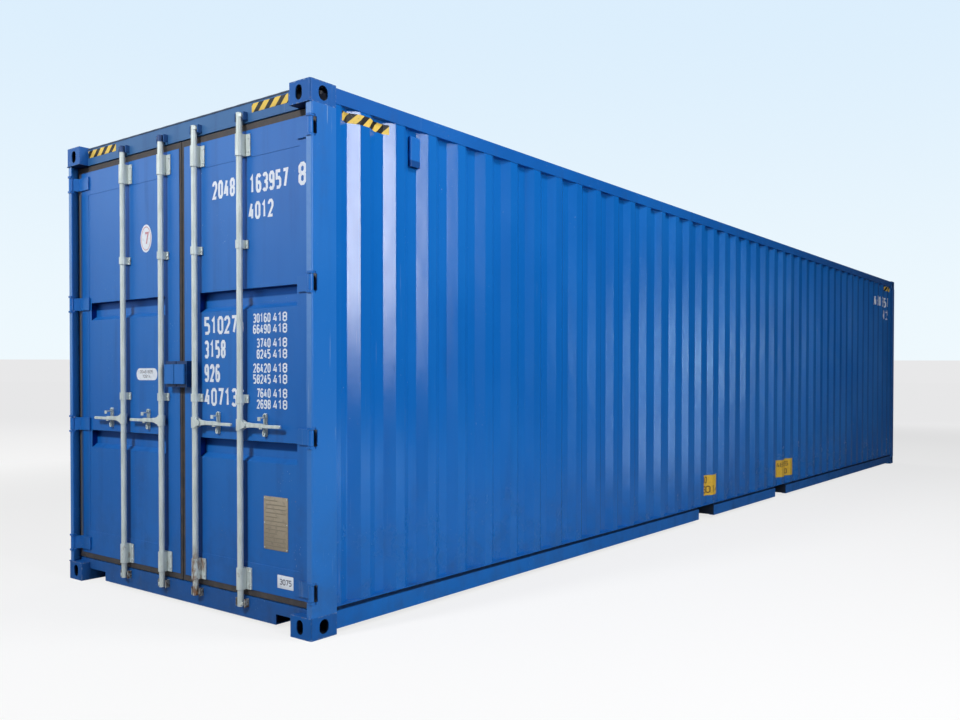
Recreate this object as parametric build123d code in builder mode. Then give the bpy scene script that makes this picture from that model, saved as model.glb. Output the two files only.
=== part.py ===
from build123d import *
import os

os.makedirs("parts", exist_ok=True)

# A forty foot high cube container. Millimetres, +Z up, the doors at -X.
# The origin is on the ground, at the middle of the container.
# Seen from outside the doors, left is +Y and right is -Y.

# Overall size
length = 12192
width = 2438
height = 2896

# Corner castings and their apertures
casting_length = 178
casting_width = 162
casting_height = 118
casting_corner_radius = 14
casting_face_wall = 28
casting_side_wall = 16
twistlock_length = 124
twistlock_width = 63.5
twistlock_from_end = 103.5
twistlock_from_side = 89.5
lashing_height = 78
end_aperture_width = 51
side_aperture_width = 64
lashing_from_edge = 89
lashing_from_face = 61

# Bottom structure
bottom_clearance = 28
rail_web = 4.5
rail_flange = 48
rail_flange_thickness = 4.5
bottom_rail_outside_gap = 3.5
rail_recess = 18
rail_recess_height = 23
rail_recess_slope = 8
cross_member_height = 113
cross_member_flange = 45
cross_member_thickness = 4
cross_member_pitch = 320
floor_thickness = 28
fork_pocket_width = 350
fork_pocket_spacing = 2048
fork_pocket_offset = -132
fork_pocket_plate = 6
tunnel_length = 3150
tunnel_width = 1029
tunnel_height = 120
tunnel_plate = 6
tunnel_bow_width = 45

# Top structure
top_rail_width = 60
top_rail_height = 80
top_rail_wall = 3
top_rail_outside_gap = 4
top_clearance = 10
roof_sheet = 2
roof_depth = 20
roof_pitch = 209
roof_flat_share = 0.4
roof_slope_share = 0.1

# Side walls
side_sheet = 2
side_depth = 36
side_outside_gap = 7
side_first_recess = 215
side_slope = 68
side_recess_flat = 70
side_ridge_flat = 72
side_end_flat = 11

# Front wall
front_sheet = 2
front_depth = 45
front_outside_gap = 8
front_ridge_flat = 110
front_recess_flat = 104
front_slope = 18
front_post_leg = 114
front_post_wall = 6
front_header_height = 80
front_header_depth = 60

# Door end frame
post_depth = 178
post_seal_depth = 120
post_wall = 6
post_lip = 42
post_recess = 8
post_seal_reach = 49
post_corner_radius = 10
end_frame_recess = 60
sill_bottom = 17
sill_front_height = 138
sill_plate = 6
sill_depth = 200
sill_notch_width = 190
sill_notch_top = 75
header_wall = 4
header_depth = 160
header_drop = 120
stop_plate = 6
stop_drop = 137.5

# Doors
leaf_recess = 66
leaf_thickness = 50
leaf_bottom = 177
leaf_top_drop = 161
leaf_seam_edge = 26
leaf_side_gap = 54
stile_width = 100
stile_wall = 3.2
rail_height = 150
rail_skin = 4
panel_sheet = 2
panel_step = 2
band_height = 116
band_depth = 38
band_top_drop = 6
band_slope_height = 26
band_stile_gap_seam = 53
band_stile_gap_hinge = 29
band_tops = [1858, 1010]
door_clearance = 5
seam_gap = 3
gasket_front = 68
gasket_back = 110
gasket_lip = 7
gasket_groove = 12
gasket_side_gap = 19
gasket_back_taper = 5

# Hinges
pin_recess = 18
pin_inset = 20
pin_radius = 8
running_clearance = 0.3
knuckle_radius = 15
blade_thickness = 10
blade_height = 84
blade_reach = 149
crank_thickness = 12
hinge_first = 243
hinge_last_drop = 235.9
hinge_count = 4
lug_thickness = 12
lug_gap = 2
lug_half = 17
lug_notch_depth = 36
notch_depth = 46

# Locking bars, cams and keepers
bar_recess = 34
bar_radius = 17
bar_outer_from_centre = 594
bar_inner_from_centre = 172
bar_top_drop = 65
bar_bottom = 82
cam_radius = 29
cam_thickness = 16
cam_from_end = 10
keeper_half = 34
keeper_plate = 7
keeper_height = 46
keeper_reach = 28
keeper_end_gap = 2

# Bar brackets, handles and catches
bracket_strap = 5
bracket_wing = 62
bracket_plate = 6
bracket_height = 121
bracket_top_gap = 22
guide_wing = 40
guide_height = 46
guide_levels = [1243, 2103]
handle_level = 1098
handle_length = 345
handle_thickness = 12
handle_grip_height = 18
handle_shoulder = 110
handle_shoulder_height = 24
handle_pivot = 42
handle_eye_radius = 17
handle_edge_chamfer = 2
handle_pin_radius = 6
hub_radius = 22
hub_height = 64
hub_ear_thickness = 8
hub_ear_gap = 1.5
retainer_from_bar = 185
retainer_plate = 8
retainer_width = 30
retainer_length = 128
retainer_drop = 61
retainer_shelf = 6
retainer_rest_gap = 0.5
retainer_hole_radius = 8
hook_thickness = 8
hook_width = 20
hook_rise = 40
hook_drop = 12
hook_front = 16
catch_thickness = 6
catch_gap = 4
catch_length = 12
catch_width = 24
catch_pivot_drop = 36
catch_pin_radius = 4
catch_head_radius = 6
catch_head_thickness = 2

# Lock box and vents
lock_box_half_width = 107
lock_box_bottom = 1304
lock_box_top = 1459
lock_box_body_recess = 24
lock_box_recess = 8
lock_box_side_border = 10
lock_box_border = 19
lock_box_wall = 4
vent_height = 175
vent_top_gap = 41
vent_front_width = 96
vent_depth = 27
vent_after_ridges = 2
vent_corner_radius = 8
vent_wall = 3

# Places worked out from the sizes above
x_rear = -length / 2
x_front = length / 2
y_side = width / 2
rail_top = bottom_clearance + 2 * rail_flange_thickness + cross_member_height
floor_bottom = bottom_clearance + rail_flange_thickness + cross_member_height
floor_top = floor_bottom + floor_thickness
rail_web_outside = y_side - bottom_rail_outside_gap
rail_web_inside = rail_web_outside - rail_web
rail_inside = rail_web_outside - rail_flange
web_top = rail_top - rail_flange_thickness - rail_recess_height
cross_member_end = rail_web_inside - rail_recess
wall_outside = y_side - side_outside_gap
top_rail_outside = y_side - top_rail_outside_gap
top_rail_inside = top_rail_outside - top_rail_width
rail_roof_level = height - top_clearance
top_rail_bottom = rail_roof_level - top_rail_height
between_castings = width - 2 * casting_width
post_inside = y_side - post_seal_reach
leaf_hinge_edge = y_side - leaf_side_gap
gasket_hinge_edge = y_side - gasket_side_gap
header_bottom = height - header_drop
leaf_top = height - leaf_top_drop
bar_top = height - bar_top_drop
fork_centres = [fork_pocket_offset + side * fork_pocket_spacing / 2 for side in (-1, 1)]
tunnel_rear = x_front - tunnel_length
side_pitch = side_slope * 2 + side_recess_flat + side_ridge_flat
pin_from_centre = y_side - pin_inset
hinge_spacing = (height - hinge_last_drop - hinge_first) / (hinge_count - 1)
hinge_levels = [hinge_first + n * hinge_spacing for n in range(hinge_count)]
first_ridge = x_rear + side_first_recess + 2 * side_slope + side_end_flat
ridge_span = -2 * first_ridge - side_ridge_flat
ridge_gaps = round(ridge_span / side_pitch)
ridge_step = ridge_span / ridge_gaps
bar_places = {
    "left_outer": bar_outer_from_centre,
    "left_inner": bar_inner_from_centre,
    "right_inner": -bar_inner_from_centre,
    "right_outer": -bar_outer_from_centre,
}
door_sides = {"left": 1, "right": -1}


def save(block, name):
    """Label a finished piece and write it to its own file."""
    block.part.label = name
    export_step(block.part, f"parts/{name}.step")


def folded_sheet(points, shift):
    """Face between a line of points and the same line moved by shift."""
    back = [(x + shift[0], y + shift[1]) for x, y in reversed(points)]
    Polygon(*points, *back, align=None)


def outline(points):
    """Face inside a closed line of points."""
    Polygon(*points, align=None)


def corner_castings(z_low, open_face):
    """Four hollow castings, with the twistlock aperture in the face that open_face names."""
    z_high = z_low + casting_height
    z_face = z_high if open_face == "top" else z_low
    into = -1 if open_face == "top" else 1
    chamber_height = casting_height - casting_face_wall - casting_side_wall
    chamber_middle = z_face + into * (casting_face_wall + chamber_height / 2)
    lashing_level = z_face + into * lashing_from_face
    middle_x = x_front - casting_length / 2
    middle_y = y_side - casting_width / 2
    with BuildPart() as castings:
        with Locations((middle_x, middle_y, z_low + casting_height / 2)):
            Box(casting_length, casting_width, casting_height)
        corner = castings.edges().filter_by(Axis.Z).group_by(Axis.X)[-1].sort_by(Axis.Y)[-1]
        fillet(corner, casting_corner_radius)
        with Locations((middle_x, middle_y, chamber_middle)):
            Box(
                casting_length - 2 * casting_side_wall,
                casting_width - 2 * casting_side_wall,
                chamber_height,
                mode=Mode.SUBTRACT,
            )
        with BuildSketch(Plane.XY.offset(z_face)):
            with Locations((x_front - twistlock_from_end, y_side - twistlock_from_side)):
                SlotOverall(twistlock_length, twistlock_width)
        extrude(amount=into * casting_face_wall, mode=Mode.SUBTRACT)
        end_face = Plane((x_front, y_side - lashing_from_edge, lashing_level), (0, 0, 1), (1, 0, 0))
        with BuildSketch(end_face):
            SlotOverall(lashing_height, end_aperture_width)
        extrude(amount=-casting_side_wall, mode=Mode.SUBTRACT)
        side_face = Plane((x_front - lashing_from_edge, y_side, lashing_level), (0, 0, 1), (0, 1, 0))
        with BuildSketch(side_face):
            SlotOverall(lashing_height, side_aperture_width)
        extrude(amount=-casting_side_wall, mode=Mode.SUBTRACT)
        mirror(about=Plane.YZ)
        mirror(about=Plane.XZ)
    return castings


# Corner castings
bottom_castings = corner_castings(0, "bottom")
save(bottom_castings, "bottom_castings")
top_castings = corner_castings(height - casting_height, "top")
save(top_castings, "top_castings")

# Rear corner posts: a lip beside the door, a web and a closed tube that the door seals against
with BuildPart() as rear_posts:
    with BuildSketch(Plane.XY.offset(casting_height)):
        outline(
            [
                (x_rear + post_recess, y_side),
                (x_rear + post_depth, y_side),
                (x_rear + post_depth, post_inside),
                (x_rear + post_seal_depth, post_inside),
                (x_rear + post_seal_depth, y_side - post_wall),
                (x_rear + post_recess + post_wall, y_side - post_wall),
                (x_rear + post_recess + post_wall, y_side - post_lip),
                (x_rear + post_recess, y_side - post_lip),
            ]
        )
        with Locations(
            (x_rear + (post_seal_depth + post_depth) / 2, (post_inside + y_side) / 2)
        ):
            Rectangle(
                post_depth - post_seal_depth - 2 * post_wall,
                y_side - post_inside - 2 * post_wall,
                mode=Mode.SUBTRACT,
            )
    extrude(amount=height - 2 * casting_height)
    outer_corner = rear_posts.edges().filter_by(Axis.Z).group_by(Axis.X)[0].sort_by(Axis.Y)[-1]
    fillet(outer_corner, post_corner_radius)
    lug_notch_height = blade_height + 2 * (lug_gap + lug_thickness)
    with Locations([(x_rear + lug_notch_depth / 2, y_side, level) for level in hinge_levels]):
        Box(lug_notch_depth, 2 * (post_lip + post_wall), lug_notch_height, mode=Mode.SUBTRACT)
    notch_height = blade_height + 2 * lug_gap
    with Locations([(x_rear + notch_depth / 2, y_side, level) for level in hinge_levels]):
        Box(notch_depth, 2 * (post_lip + post_wall), notch_height, mode=Mode.SUBTRACT)
    mirror(about=Plane.XZ)
save(rear_posts, "rear_posts")

# Hinge lugs, two to a hinge with their pin, in the notches of the posts
with BuildPart() as hinge_lugs:
    for level in hinge_levels:
        lug_base = level - blade_height / 2 - lug_gap - lug_thickness
        with BuildSketch(Plane.XY.offset(lug_base)):
            with Locations((x_rear + pin_recess, pin_from_centre)):
                RectangleRounded(2 * lug_half, 2 * lug_half, lug_half / 3)
        extrude(amount=lug_thickness)
        with BuildSketch(Plane.XY.offset(level + blade_height / 2 + lug_gap)):
            with Locations((x_rear + pin_recess, pin_from_centre)):
                RectangleRounded(2 * lug_half, 2 * lug_half, lug_half / 3)
        extrude(amount=lug_thickness)
        with BuildSketch(Plane.XY.offset(lug_base)):
            with Locations((x_rear + pin_recess, pin_from_centre)):
                Circle(pin_radius)
        extrude(amount=blade_height + 2 * (lug_gap + lug_thickness))
    mirror(about=Plane.XZ)
save(hinge_lugs, "hinge_lugs")

# Rear sill: a folded channel, with a ledge under the doors and a stop behind them
ledge_back = leaf_recess + leaf_thickness + door_clearance
with BuildPart() as rear_sill:
    with BuildSketch(Plane.XZ):
        outline(
            [
                (x_rear + end_frame_recess, sill_bottom),
                (x_rear + sill_depth, sill_bottom),
                (x_rear + sill_depth, sill_bottom + sill_plate),
                (x_rear + end_frame_recess + sill_plate, sill_bottom + sill_plate),
                (x_rear + end_frame_recess + sill_plate, casting_height),
                (x_rear + end_frame_recess, casting_height),
            ]
        )
    extrude(amount=between_castings / 2, both=True)
    with BuildSketch(Plane.XZ):
        outline(
            [
                (x_rear + end_frame_recess, casting_height),
                (x_rear + end_frame_recess, sill_front_height),
                (x_rear + ledge_back, sill_front_height),
                (x_rear + ledge_back, floor_top),
                (x_rear + sill_depth, floor_top),
                (x_rear + sill_depth, floor_top - sill_plate),
                (x_rear + ledge_back + stop_plate, floor_top - sill_plate),
                (x_rear + ledge_back + stop_plate, casting_height),
            ]
        )
    extrude(amount=post_inside, both=True)
    for side in (-1, 1):
        notch_middle = side * (between_castings - sill_notch_width) / 2
        with Locations((x_rear + end_frame_recess, notch_middle, sill_bottom)):
            Box(
                2 * sill_depth,
                sill_notch_width,
                2 * (sill_notch_top - sill_bottom),
                mode=Mode.SUBTRACT,
            )
save(rear_sill, "rear_sill")

# Rear header: a tube between the castings, with a stop plate that the doors close against
stop_bottom = height - stop_drop
header_width = header_depth - end_frame_recess
header_height = rail_roof_level - header_bottom
casting_underside = height - casting_height
with BuildPart() as rear_header:
    with BuildSketch(Plane.XZ):
        with Locations(
            (x_rear + end_frame_recess + header_width / 2, header_bottom + header_height / 2)
        ):
            Rectangle(header_width, header_height)
            Rectangle(
                header_width - 2 * header_wall,
                header_height - 2 * header_wall,
                mode=Mode.SUBTRACT,
            )
    extrude(amount=between_castings / 2, both=True)
    with BuildSketch(Plane.XZ):
        outline(
            [
                (x_rear + ledge_back, stop_bottom),
                (x_rear + header_depth, stop_bottom),
                (x_rear + header_depth, stop_bottom + stop_plate),
                (x_rear + ledge_back + stop_plate, stop_bottom + stop_plate),
                (x_rear + ledge_back + stop_plate, casting_underside),
                (x_rear + ledge_back, casting_underside),
            ]
        )
    extrude(amount=post_inside, both=True)
save(rear_header, "rear_header")

# Front corner posts: angle shaped tubes at the blind end
with BuildPart() as front_posts:
    with BuildSketch(Plane.XY.offset(casting_height)):
        post_corner = (x_front, y_side)
        outline(
            [
                post_corner,
                (x_front - front_post_leg, y_side),
                (x_front - front_post_leg, wall_outside - side_depth),
                (x_front - front_outside_gap - front_depth, wall_outside - side_depth),
                (x_front - front_outside_gap - front_depth, y_side - front_post_leg),
                (x_front, y_side - front_post_leg),
            ]
        )
        offset(amount=-front_post_wall, mode=Mode.SUBTRACT)
    extrude(amount=height - 2 * casting_height)
    mirror(about=Plane.XZ)
save(front_posts, "front_posts")

# Front sill, cut away over the tunnel that a trailer's raised neck runs into
with BuildPart() as front_sill:
    with BuildSketch(Plane.XZ):
        folded_sheet(
            [
                (x_front - casting_length + front_post_wall, sill_bottom),
                (x_front - front_outside_gap, sill_bottom),
                (x_front - front_outside_gap, casting_height),
            ],
            (-front_post_wall, front_post_wall),
        )
    extrude(amount=between_castings / 2, both=True)
    with BuildSketch(Plane.XZ):
        outline(
            [
                (x_front - front_outside_gap, casting_height),
                (x_front - front_outside_gap, rail_top),
                (x_front - front_outside_gap - front_post_wall, rail_top),
                (x_front - front_outside_gap - front_post_wall, floor_bottom),
                (x_front - casting_length, floor_bottom),
                (x_front - casting_length, floor_bottom - front_post_wall),
                (x_front - front_outside_gap - front_post_wall, floor_bottom - front_post_wall),
                (x_front - front_outside_gap - front_post_wall, casting_height),
            ]
        )
    extrude(amount=y_side - front_post_leg, both=True)
    with Locations((x_front, 0, sill_bottom)):
        Box(
            3 * casting_length,
            tunnel_width + 2 * tunnel_plate,
            2 * (tunnel_height + tunnel_plate - sill_bottom),
            mode=Mode.SUBTRACT,
        )
save(front_sill, "front_sill")

# Front header: a tube between the top castings
with BuildPart() as front_header:
    with BuildSketch(Plane.XZ):
        with Locations(
            (
                x_front - front_outside_gap - front_header_depth / 2,
                rail_roof_level - front_header_height / 2,
            )
        ):
            Rectangle(front_header_depth, front_header_height)
            Rectangle(
                front_header_depth - 2 * header_wall,
                front_header_height - 2 * header_wall,
                mode=Mode.SUBTRACT,
            )
    extrude(amount=between_castings / 2, both=True)
save(front_header, "front_header")

# Top side rails: square tubes between the castings
rail_run = length - 2 * casting_length
with BuildPart() as top_side_rails:
    with BuildSketch(Plane.YZ.offset(-rail_run / 2)):
        with Locations(
            (top_rail_outside - top_rail_width / 2, rail_roof_level - top_rail_height / 2)
        ):
            Rectangle(top_rail_width, top_rail_height)
            Rectangle(
                top_rail_width - 2 * top_rail_wall,
                top_rail_height - 2 * top_rail_wall,
                mode=Mode.SUBTRACT,
            )
    extrude(amount=rail_run)
    mirror(about=Plane.XZ)
save(top_side_rails, "top_side_rails")

# Bottom side rails: channels that open inwards, stepped in below the top flange, cut at the fork pockets
with BuildPart() as bottom_side_rails:
    with BuildSketch(Plane.YZ.offset(-rail_run / 2)):
        outline(
            [
                (rail_inside, bottom_clearance),
                (rail_web_outside, bottom_clearance),
                (rail_web_outside, web_top),
                (rail_web_outside - rail_recess, web_top + rail_recess_slope),
                (rail_web_outside - rail_recess, rail_top - rail_flange_thickness),
                (rail_web_outside, rail_top - rail_flange_thickness),
                (rail_web_outside, rail_top),
                (rail_inside, rail_top),
                (rail_inside, rail_top - rail_flange_thickness),
                (rail_web_inside - rail_recess, rail_top - rail_flange_thickness),
                (rail_web_inside - rail_recess, web_top + rail_recess_slope),
                (rail_web_inside, web_top),
                (rail_web_inside, bottom_clearance + rail_flange_thickness),
                (rail_inside, bottom_clearance + rail_flange_thickness),
            ]
        )
    extrude(amount=rail_run)
    pocket_cut = rail_top - rail_flange_thickness - bottom_clearance
    with Locations([(x, rail_web_outside, bottom_clearance) for x in fork_centres]):
        Box(fork_pocket_width, 3 * rail_flange, 2 * pocket_cut, mode=Mode.SUBTRACT)
    mirror(about=Plane.XZ)
save(bottom_side_rails, "bottom_side_rails")

# Fork pockets: a channel across the container that opens downwards
with BuildPart() as fork_pockets:
    for x in fork_centres:
        with BuildSketch(Plane.XZ):
            half = fork_pocket_width / 2
            outline(
                [
                    (x - half - fork_pocket_plate, bottom_clearance + rail_flange_thickness),
                    (x - half, bottom_clearance + rail_flange_thickness),
                    (x - half, floor_bottom - fork_pocket_plate),
                    (x + half, floor_bottom - fork_pocket_plate),
                    (x + half, bottom_clearance + rail_flange_thickness),
                    (x + half + fork_pocket_plate, bottom_clearance + rail_flange_thickness),
                    (x + half + fork_pocket_plate, floor_bottom),
                    (x - half - fork_pocket_plate, floor_bottom),
                ]
            )
        extrude(amount=rail_web_inside, both=True)
    with BuildSketch(Plane.YZ.offset(x_rear)):
        for side in (-1, 1):
            with Locations((side * (cross_member_end + rail_recess / 2), (web_top + floor_bottom) / 2)):
                Rectangle(rail_recess, floor_bottom - web_top)
    extrude(amount=length, mode=Mode.SUBTRACT)
save(fork_pockets, "fork_pockets")

# Tunnel under the floor at the front end, with bows across its top
tunnel_half = tunnel_width / 2
with BuildPart() as gooseneck_tunnel:
    with BuildSketch(Plane.YZ.offset(tunnel_rear)):
        outline(
            [
                (-tunnel_half - tunnel_plate, bottom_clearance),
                (-tunnel_half, bottom_clearance),
                (-tunnel_half, tunnel_height),
                (tunnel_half, tunnel_height),
                (tunnel_half, bottom_clearance),
                (tunnel_half + tunnel_plate, bottom_clearance),
                (tunnel_half + tunnel_plate, tunnel_height + tunnel_plate),
                (-tunnel_half - tunnel_plate, tunnel_height + tunnel_plate),
            ]
        )
    extrude(amount=tunnel_length - front_outside_gap)
    bow_height = floor_bottom - tunnel_height - tunnel_plate
    bow_run = tunnel_length - casting_length - tunnel_bow_width
    bow_count = int(bow_run // cross_member_pitch) + 1
    bow_level = tunnel_height + tunnel_plate + bow_height / 2
    bow_places = [
        (tunnel_rear + tunnel_bow_width / 2 + n * cross_member_pitch, 0, bow_level)
        for n in range(bow_count)
    ]
    with Locations(bow_places):
        Box(tunnel_bow_width, tunnel_width + 2 * tunnel_plate, bow_height)
save(gooseneck_tunnel, "gooseneck_tunnel")


def cross_member_section(x):
    """Section of one channel under the floor, open towards the front."""
    low = bottom_clearance + rail_flange_thickness
    outline(
        [
            (x, low),
            (x + cross_member_flange, low),
            (x + cross_member_flange, low + cross_member_thickness),
            (x + cross_member_thickness, low + cross_member_thickness),
            (x + cross_member_thickness, floor_bottom - cross_member_thickness),
            (x + cross_member_flange, floor_bottom - cross_member_thickness),
            (x + cross_member_flange, floor_bottom),
            (x, floor_bottom),
        ]
    )


# Cross members: full width behind the tunnel, short ones beside it
first_member = x_rear + sill_depth + cross_member_pitch / 2
pocket_keep_out = fork_pocket_width / 2 + fork_pocket_plate + cross_member_flange
full_count = int((tunnel_rear - cross_member_flange - first_member) // cross_member_pitch) + 1
full_places = [first_member + n * cross_member_pitch for n in range(full_count)]
full_places = [
    x
    for x in full_places
    if all(x + cross_member_flange < c - pocket_keep_out or x > c + pocket_keep_out for c in fork_centres)
]
full_places.append(tunnel_rear - cross_member_flange)
beside_run = tunnel_length - casting_length - cross_member_flange
beside_count = int(beside_run // cross_member_pitch) + 1
beside_places = [tunnel_rear + n * cross_member_pitch for n in range(1, beside_count)]
with BuildPart() as cross_members:
    with BuildSketch(Plane.XZ):
        for x in full_places:
            cross_member_section(x)
    extrude(amount=cross_member_end, both=True)
    for y_high in (cross_member_end, -tunnel_half - tunnel_plate):
        with BuildSketch(Plane.XZ.offset(-y_high)):
            for x in beside_places:
                cross_member_section(x)
        extrude(amount=cross_member_end - tunnel_half - tunnel_plate)
save(cross_members, "cross_members")

# Floor: plywood boards laid between the side rails
with BuildPart() as floor:
    floor_rear = x_rear + sill_depth
    floor_front = x_front - front_outside_gap - front_depth
    with Locations(((floor_rear + floor_front) / 2, 0, floor_bottom + floor_thickness / 2)):
        Box(floor_front - floor_rear, 2 * rail_inside, floor_thickness)
save(floor, "floor")


def side_wall_points():
    """Outer line of the side wall's pressed sheet, along the container."""
    outer = wall_outside
    inner = wall_outside - side_depth + side_sheet
    start = x_rear + side_first_recess
    points = [(x_rear + post_depth, outer), (start, outer), (start + side_slope, inner)]
    for n in range(ridge_gaps + 1):
        ridge = first_ridge + n * ridge_step
        points.append((ridge - side_slope, inner))
        points.append((ridge, outer))
        points.append((ridge + side_ridge_flat, outer))
        points.append((ridge + side_ridge_flat + side_slope, inner))
    points.append((-start - side_slope, inner))
    points.append((-start, outer))
    points.append((x_front - front_post_leg, outer))
    return points


# Side walls: pressed sheet with upright corrugations, cut round the front castings
wall_height = top_rail_bottom - rail_top
for name, side in door_sides.items():
    with BuildPart() as side_wall:
        with BuildSketch(Plane.XY.offset(rail_top)):
            folded_sheet([(x, side * y) for x, y in side_wall_points()], (0, -side * side_sheet))
        extrude(amount=wall_height)
        with Locations((x_front, side * y_side, height)):
            Box(2 * casting_length, 2 * casting_width, 2 * casting_height, mode=Mode.SUBTRACT)
    save(side_wall, f"{name}_wall")

# Front wall: pressed sheet with deeper, steeper corrugations
front_half = y_side - front_post_leg
front_outer = x_front - front_outside_gap
front_inner = front_outer - front_depth + front_sheet
front_pitch = front_ridge_flat + front_recess_flat + 2 * front_slope
front_count = int((2 * front_half - front_ridge_flat) // front_pitch)
front_margin = (2 * front_half - front_count * front_pitch - front_ridge_flat) / 2
with BuildPart() as front_wall:
    with BuildSketch(Plane.XY.offset(rail_top)):
        points = [(front_outer, -front_half)]
        for n in range(front_count):
            ridge_end = -front_half + front_margin + n * front_pitch + front_ridge_flat
            points.append((front_outer, ridge_end))
            points.append((front_inner, ridge_end + front_slope))
            points.append((front_inner, ridge_end + front_slope + front_recess_flat))
            points.append((front_outer, ridge_end + 2 * front_slope + front_recess_flat))
        points.append((front_outer, front_half))
        folded_sheet(points, (-front_sheet, 0))
    extrude(amount=rail_roof_level - front_header_height - rail_top)
    with Locations([(x_front, side * y_side, height) for side in (-1, 1)]):
        Box(2 * casting_length, 2 * casting_width, 2 * casting_height, mode=Mode.SUBTRACT)
save(front_wall, "front_wall")

# Roof: sheet with shallow corrugations across the container
roof_start = x_rear + header_depth
roof_end = x_front - front_outside_gap - front_header_depth
roof_count = round((roof_end - roof_start) / roof_pitch)
roof_step = (roof_end - roof_start) / roof_count
roof_high = rail_roof_level - roof_sheet
roof_low = roof_high - roof_depth
with BuildPart() as roof:
    with BuildSketch(Plane.XZ):
        points = [(roof_start, roof_high)]
        for n in range(roof_count):
            base = roof_start + n * roof_step
            half_flat = roof_flat_share * roof_step / 2
            slope = roof_slope_share * roof_step
            points.append((base + half_flat, roof_high))
            points.append((base + half_flat + slope, roof_low))
            points.append((base + roof_step - half_flat - slope, roof_low))
            points.append((base + roof_step - half_flat, roof_high))
        points.append((roof_end, roof_high))
        folded_sheet(points, (0, roof_sheet))
    extrude(amount=top_rail_inside, both=True)
    corners = [(x, side * y_side, height) for x in (x_rear, x_front) for side in (-1, 1)]
    with Locations(corners):
        Box(2 * casting_length, 2 * casting_width, 2 * casting_height, mode=Mode.SUBTRACT)
save(roof, "roof")

# Vents: small hoods high in a recess of each side wall, open below, on opposite corners
real_recess_flat = ridge_step - side_ridge_flat - 2 * side_slope
vent_middle = first_ridge + vent_after_ridges * ridge_step - side_slope - real_recess_flat / 2
vent_back = wall_outside - side_depth + side_sheet
vent_base_half = side_recess_flat / 2 - side_sheet
vent_bottom = top_rail_bottom - vent_top_gap - vent_height
with BuildPart() as vents:
    with BuildSketch(Plane.XY.offset(vent_bottom)):
        outline(
            [
                (vent_middle - vent_base_half, -vent_back),
                (vent_middle - vent_front_width / 2, -vent_back - vent_depth),
                (vent_middle + vent_front_width / 2, -vent_back - vent_depth),
                (vent_middle + vent_base_half, -vent_back),
            ]
        )
    extrude(amount=vent_height)
    top_and_sides = vents.edges().group_by(Axis.Y)[0].filter_by(Axis.Z)
    top_and_sides += vents.edges().group_by(Axis.Z)[-1].filter_by(Axis.X).sort_by(Axis.Y)[:1]
    fillet(top_and_sides, vent_corner_radius)
    with BuildSketch(Plane.XY.offset(vent_bottom)):
        outline(
            [
                (vent_middle - vent_base_half + vent_wall, -vent_back - vent_wall),
                (vent_middle - vent_base_half, -vent_back - vent_depth + vent_wall),
                (vent_middle + vent_base_half, -vent_back - vent_depth + vent_wall),
                (vent_middle + vent_base_half - vent_wall, -vent_back - vent_wall),
            ]
        )
    extrude(amount=vent_height - 2 * vent_corner_radius, mode=Mode.SUBTRACT)
    other_end = vents.part.rotate(Axis.Z, 180)
    add(other_end)
save(vents, "vents")

# Keepers on the header and the sill: two cheeks beside each end of each locking bar
with BuildPart() as cam_keepers:
    keeper_back = x_rear + end_frame_recess
    for end, into in ((bar_top, 1), (bar_bottom, -1)):
        keeper_end = end + into * keeper_end_gap
        with BuildSketch(Plane.XY.offset(min(keeper_end, keeper_end - into * keeper_height))):
            for y in bar_places.values():
                for side in (-1, 1):
                    with Locations(
                        (keeper_back - keeper_reach / 2, y + side * (keeper_half + keeper_plate / 2))
                    ):
                        Rectangle(keeper_reach, keeper_plate)
        extrude(amount=keeper_height)
save(cam_keepers, "cam_keepers")


# The two doors: what follows is made once for each side
leaf_front = x_rear + leaf_recess
leaf_back = leaf_front + leaf_thickness
leaf_width = leaf_hinge_edge - leaf_seam_edge
leaf_height = leaf_top - leaf_bottom
leaf_middle = (leaf_hinge_edge + leaf_seam_edge) / 2
panel_bottom = leaf_bottom + rail_height
panel_top = leaf_top - rail_height
panel_low_y = leaf_seam_edge + stile_width
panel_high_y = leaf_hinge_edge - stile_width
bar_axis_x = x_rear + bar_recess
shelf_top = handle_level - handle_shoulder_height / 2 - retainer_rest_gap
shelf_front = bar_axis_x - handle_thickness / 2
pivot_level = handle_level - catch_pivot_drop
retainer_front = leaf_front + panel_step - retainer_plate
retainer_middle = handle_level - retainer_drop + retainer_length / 2
retainer_eye = retainer_middle + (retainer_length - retainer_width) / 2
hook_level = handle_level + hook_rise
catch_back = retainer_front - catch_gap

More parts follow.
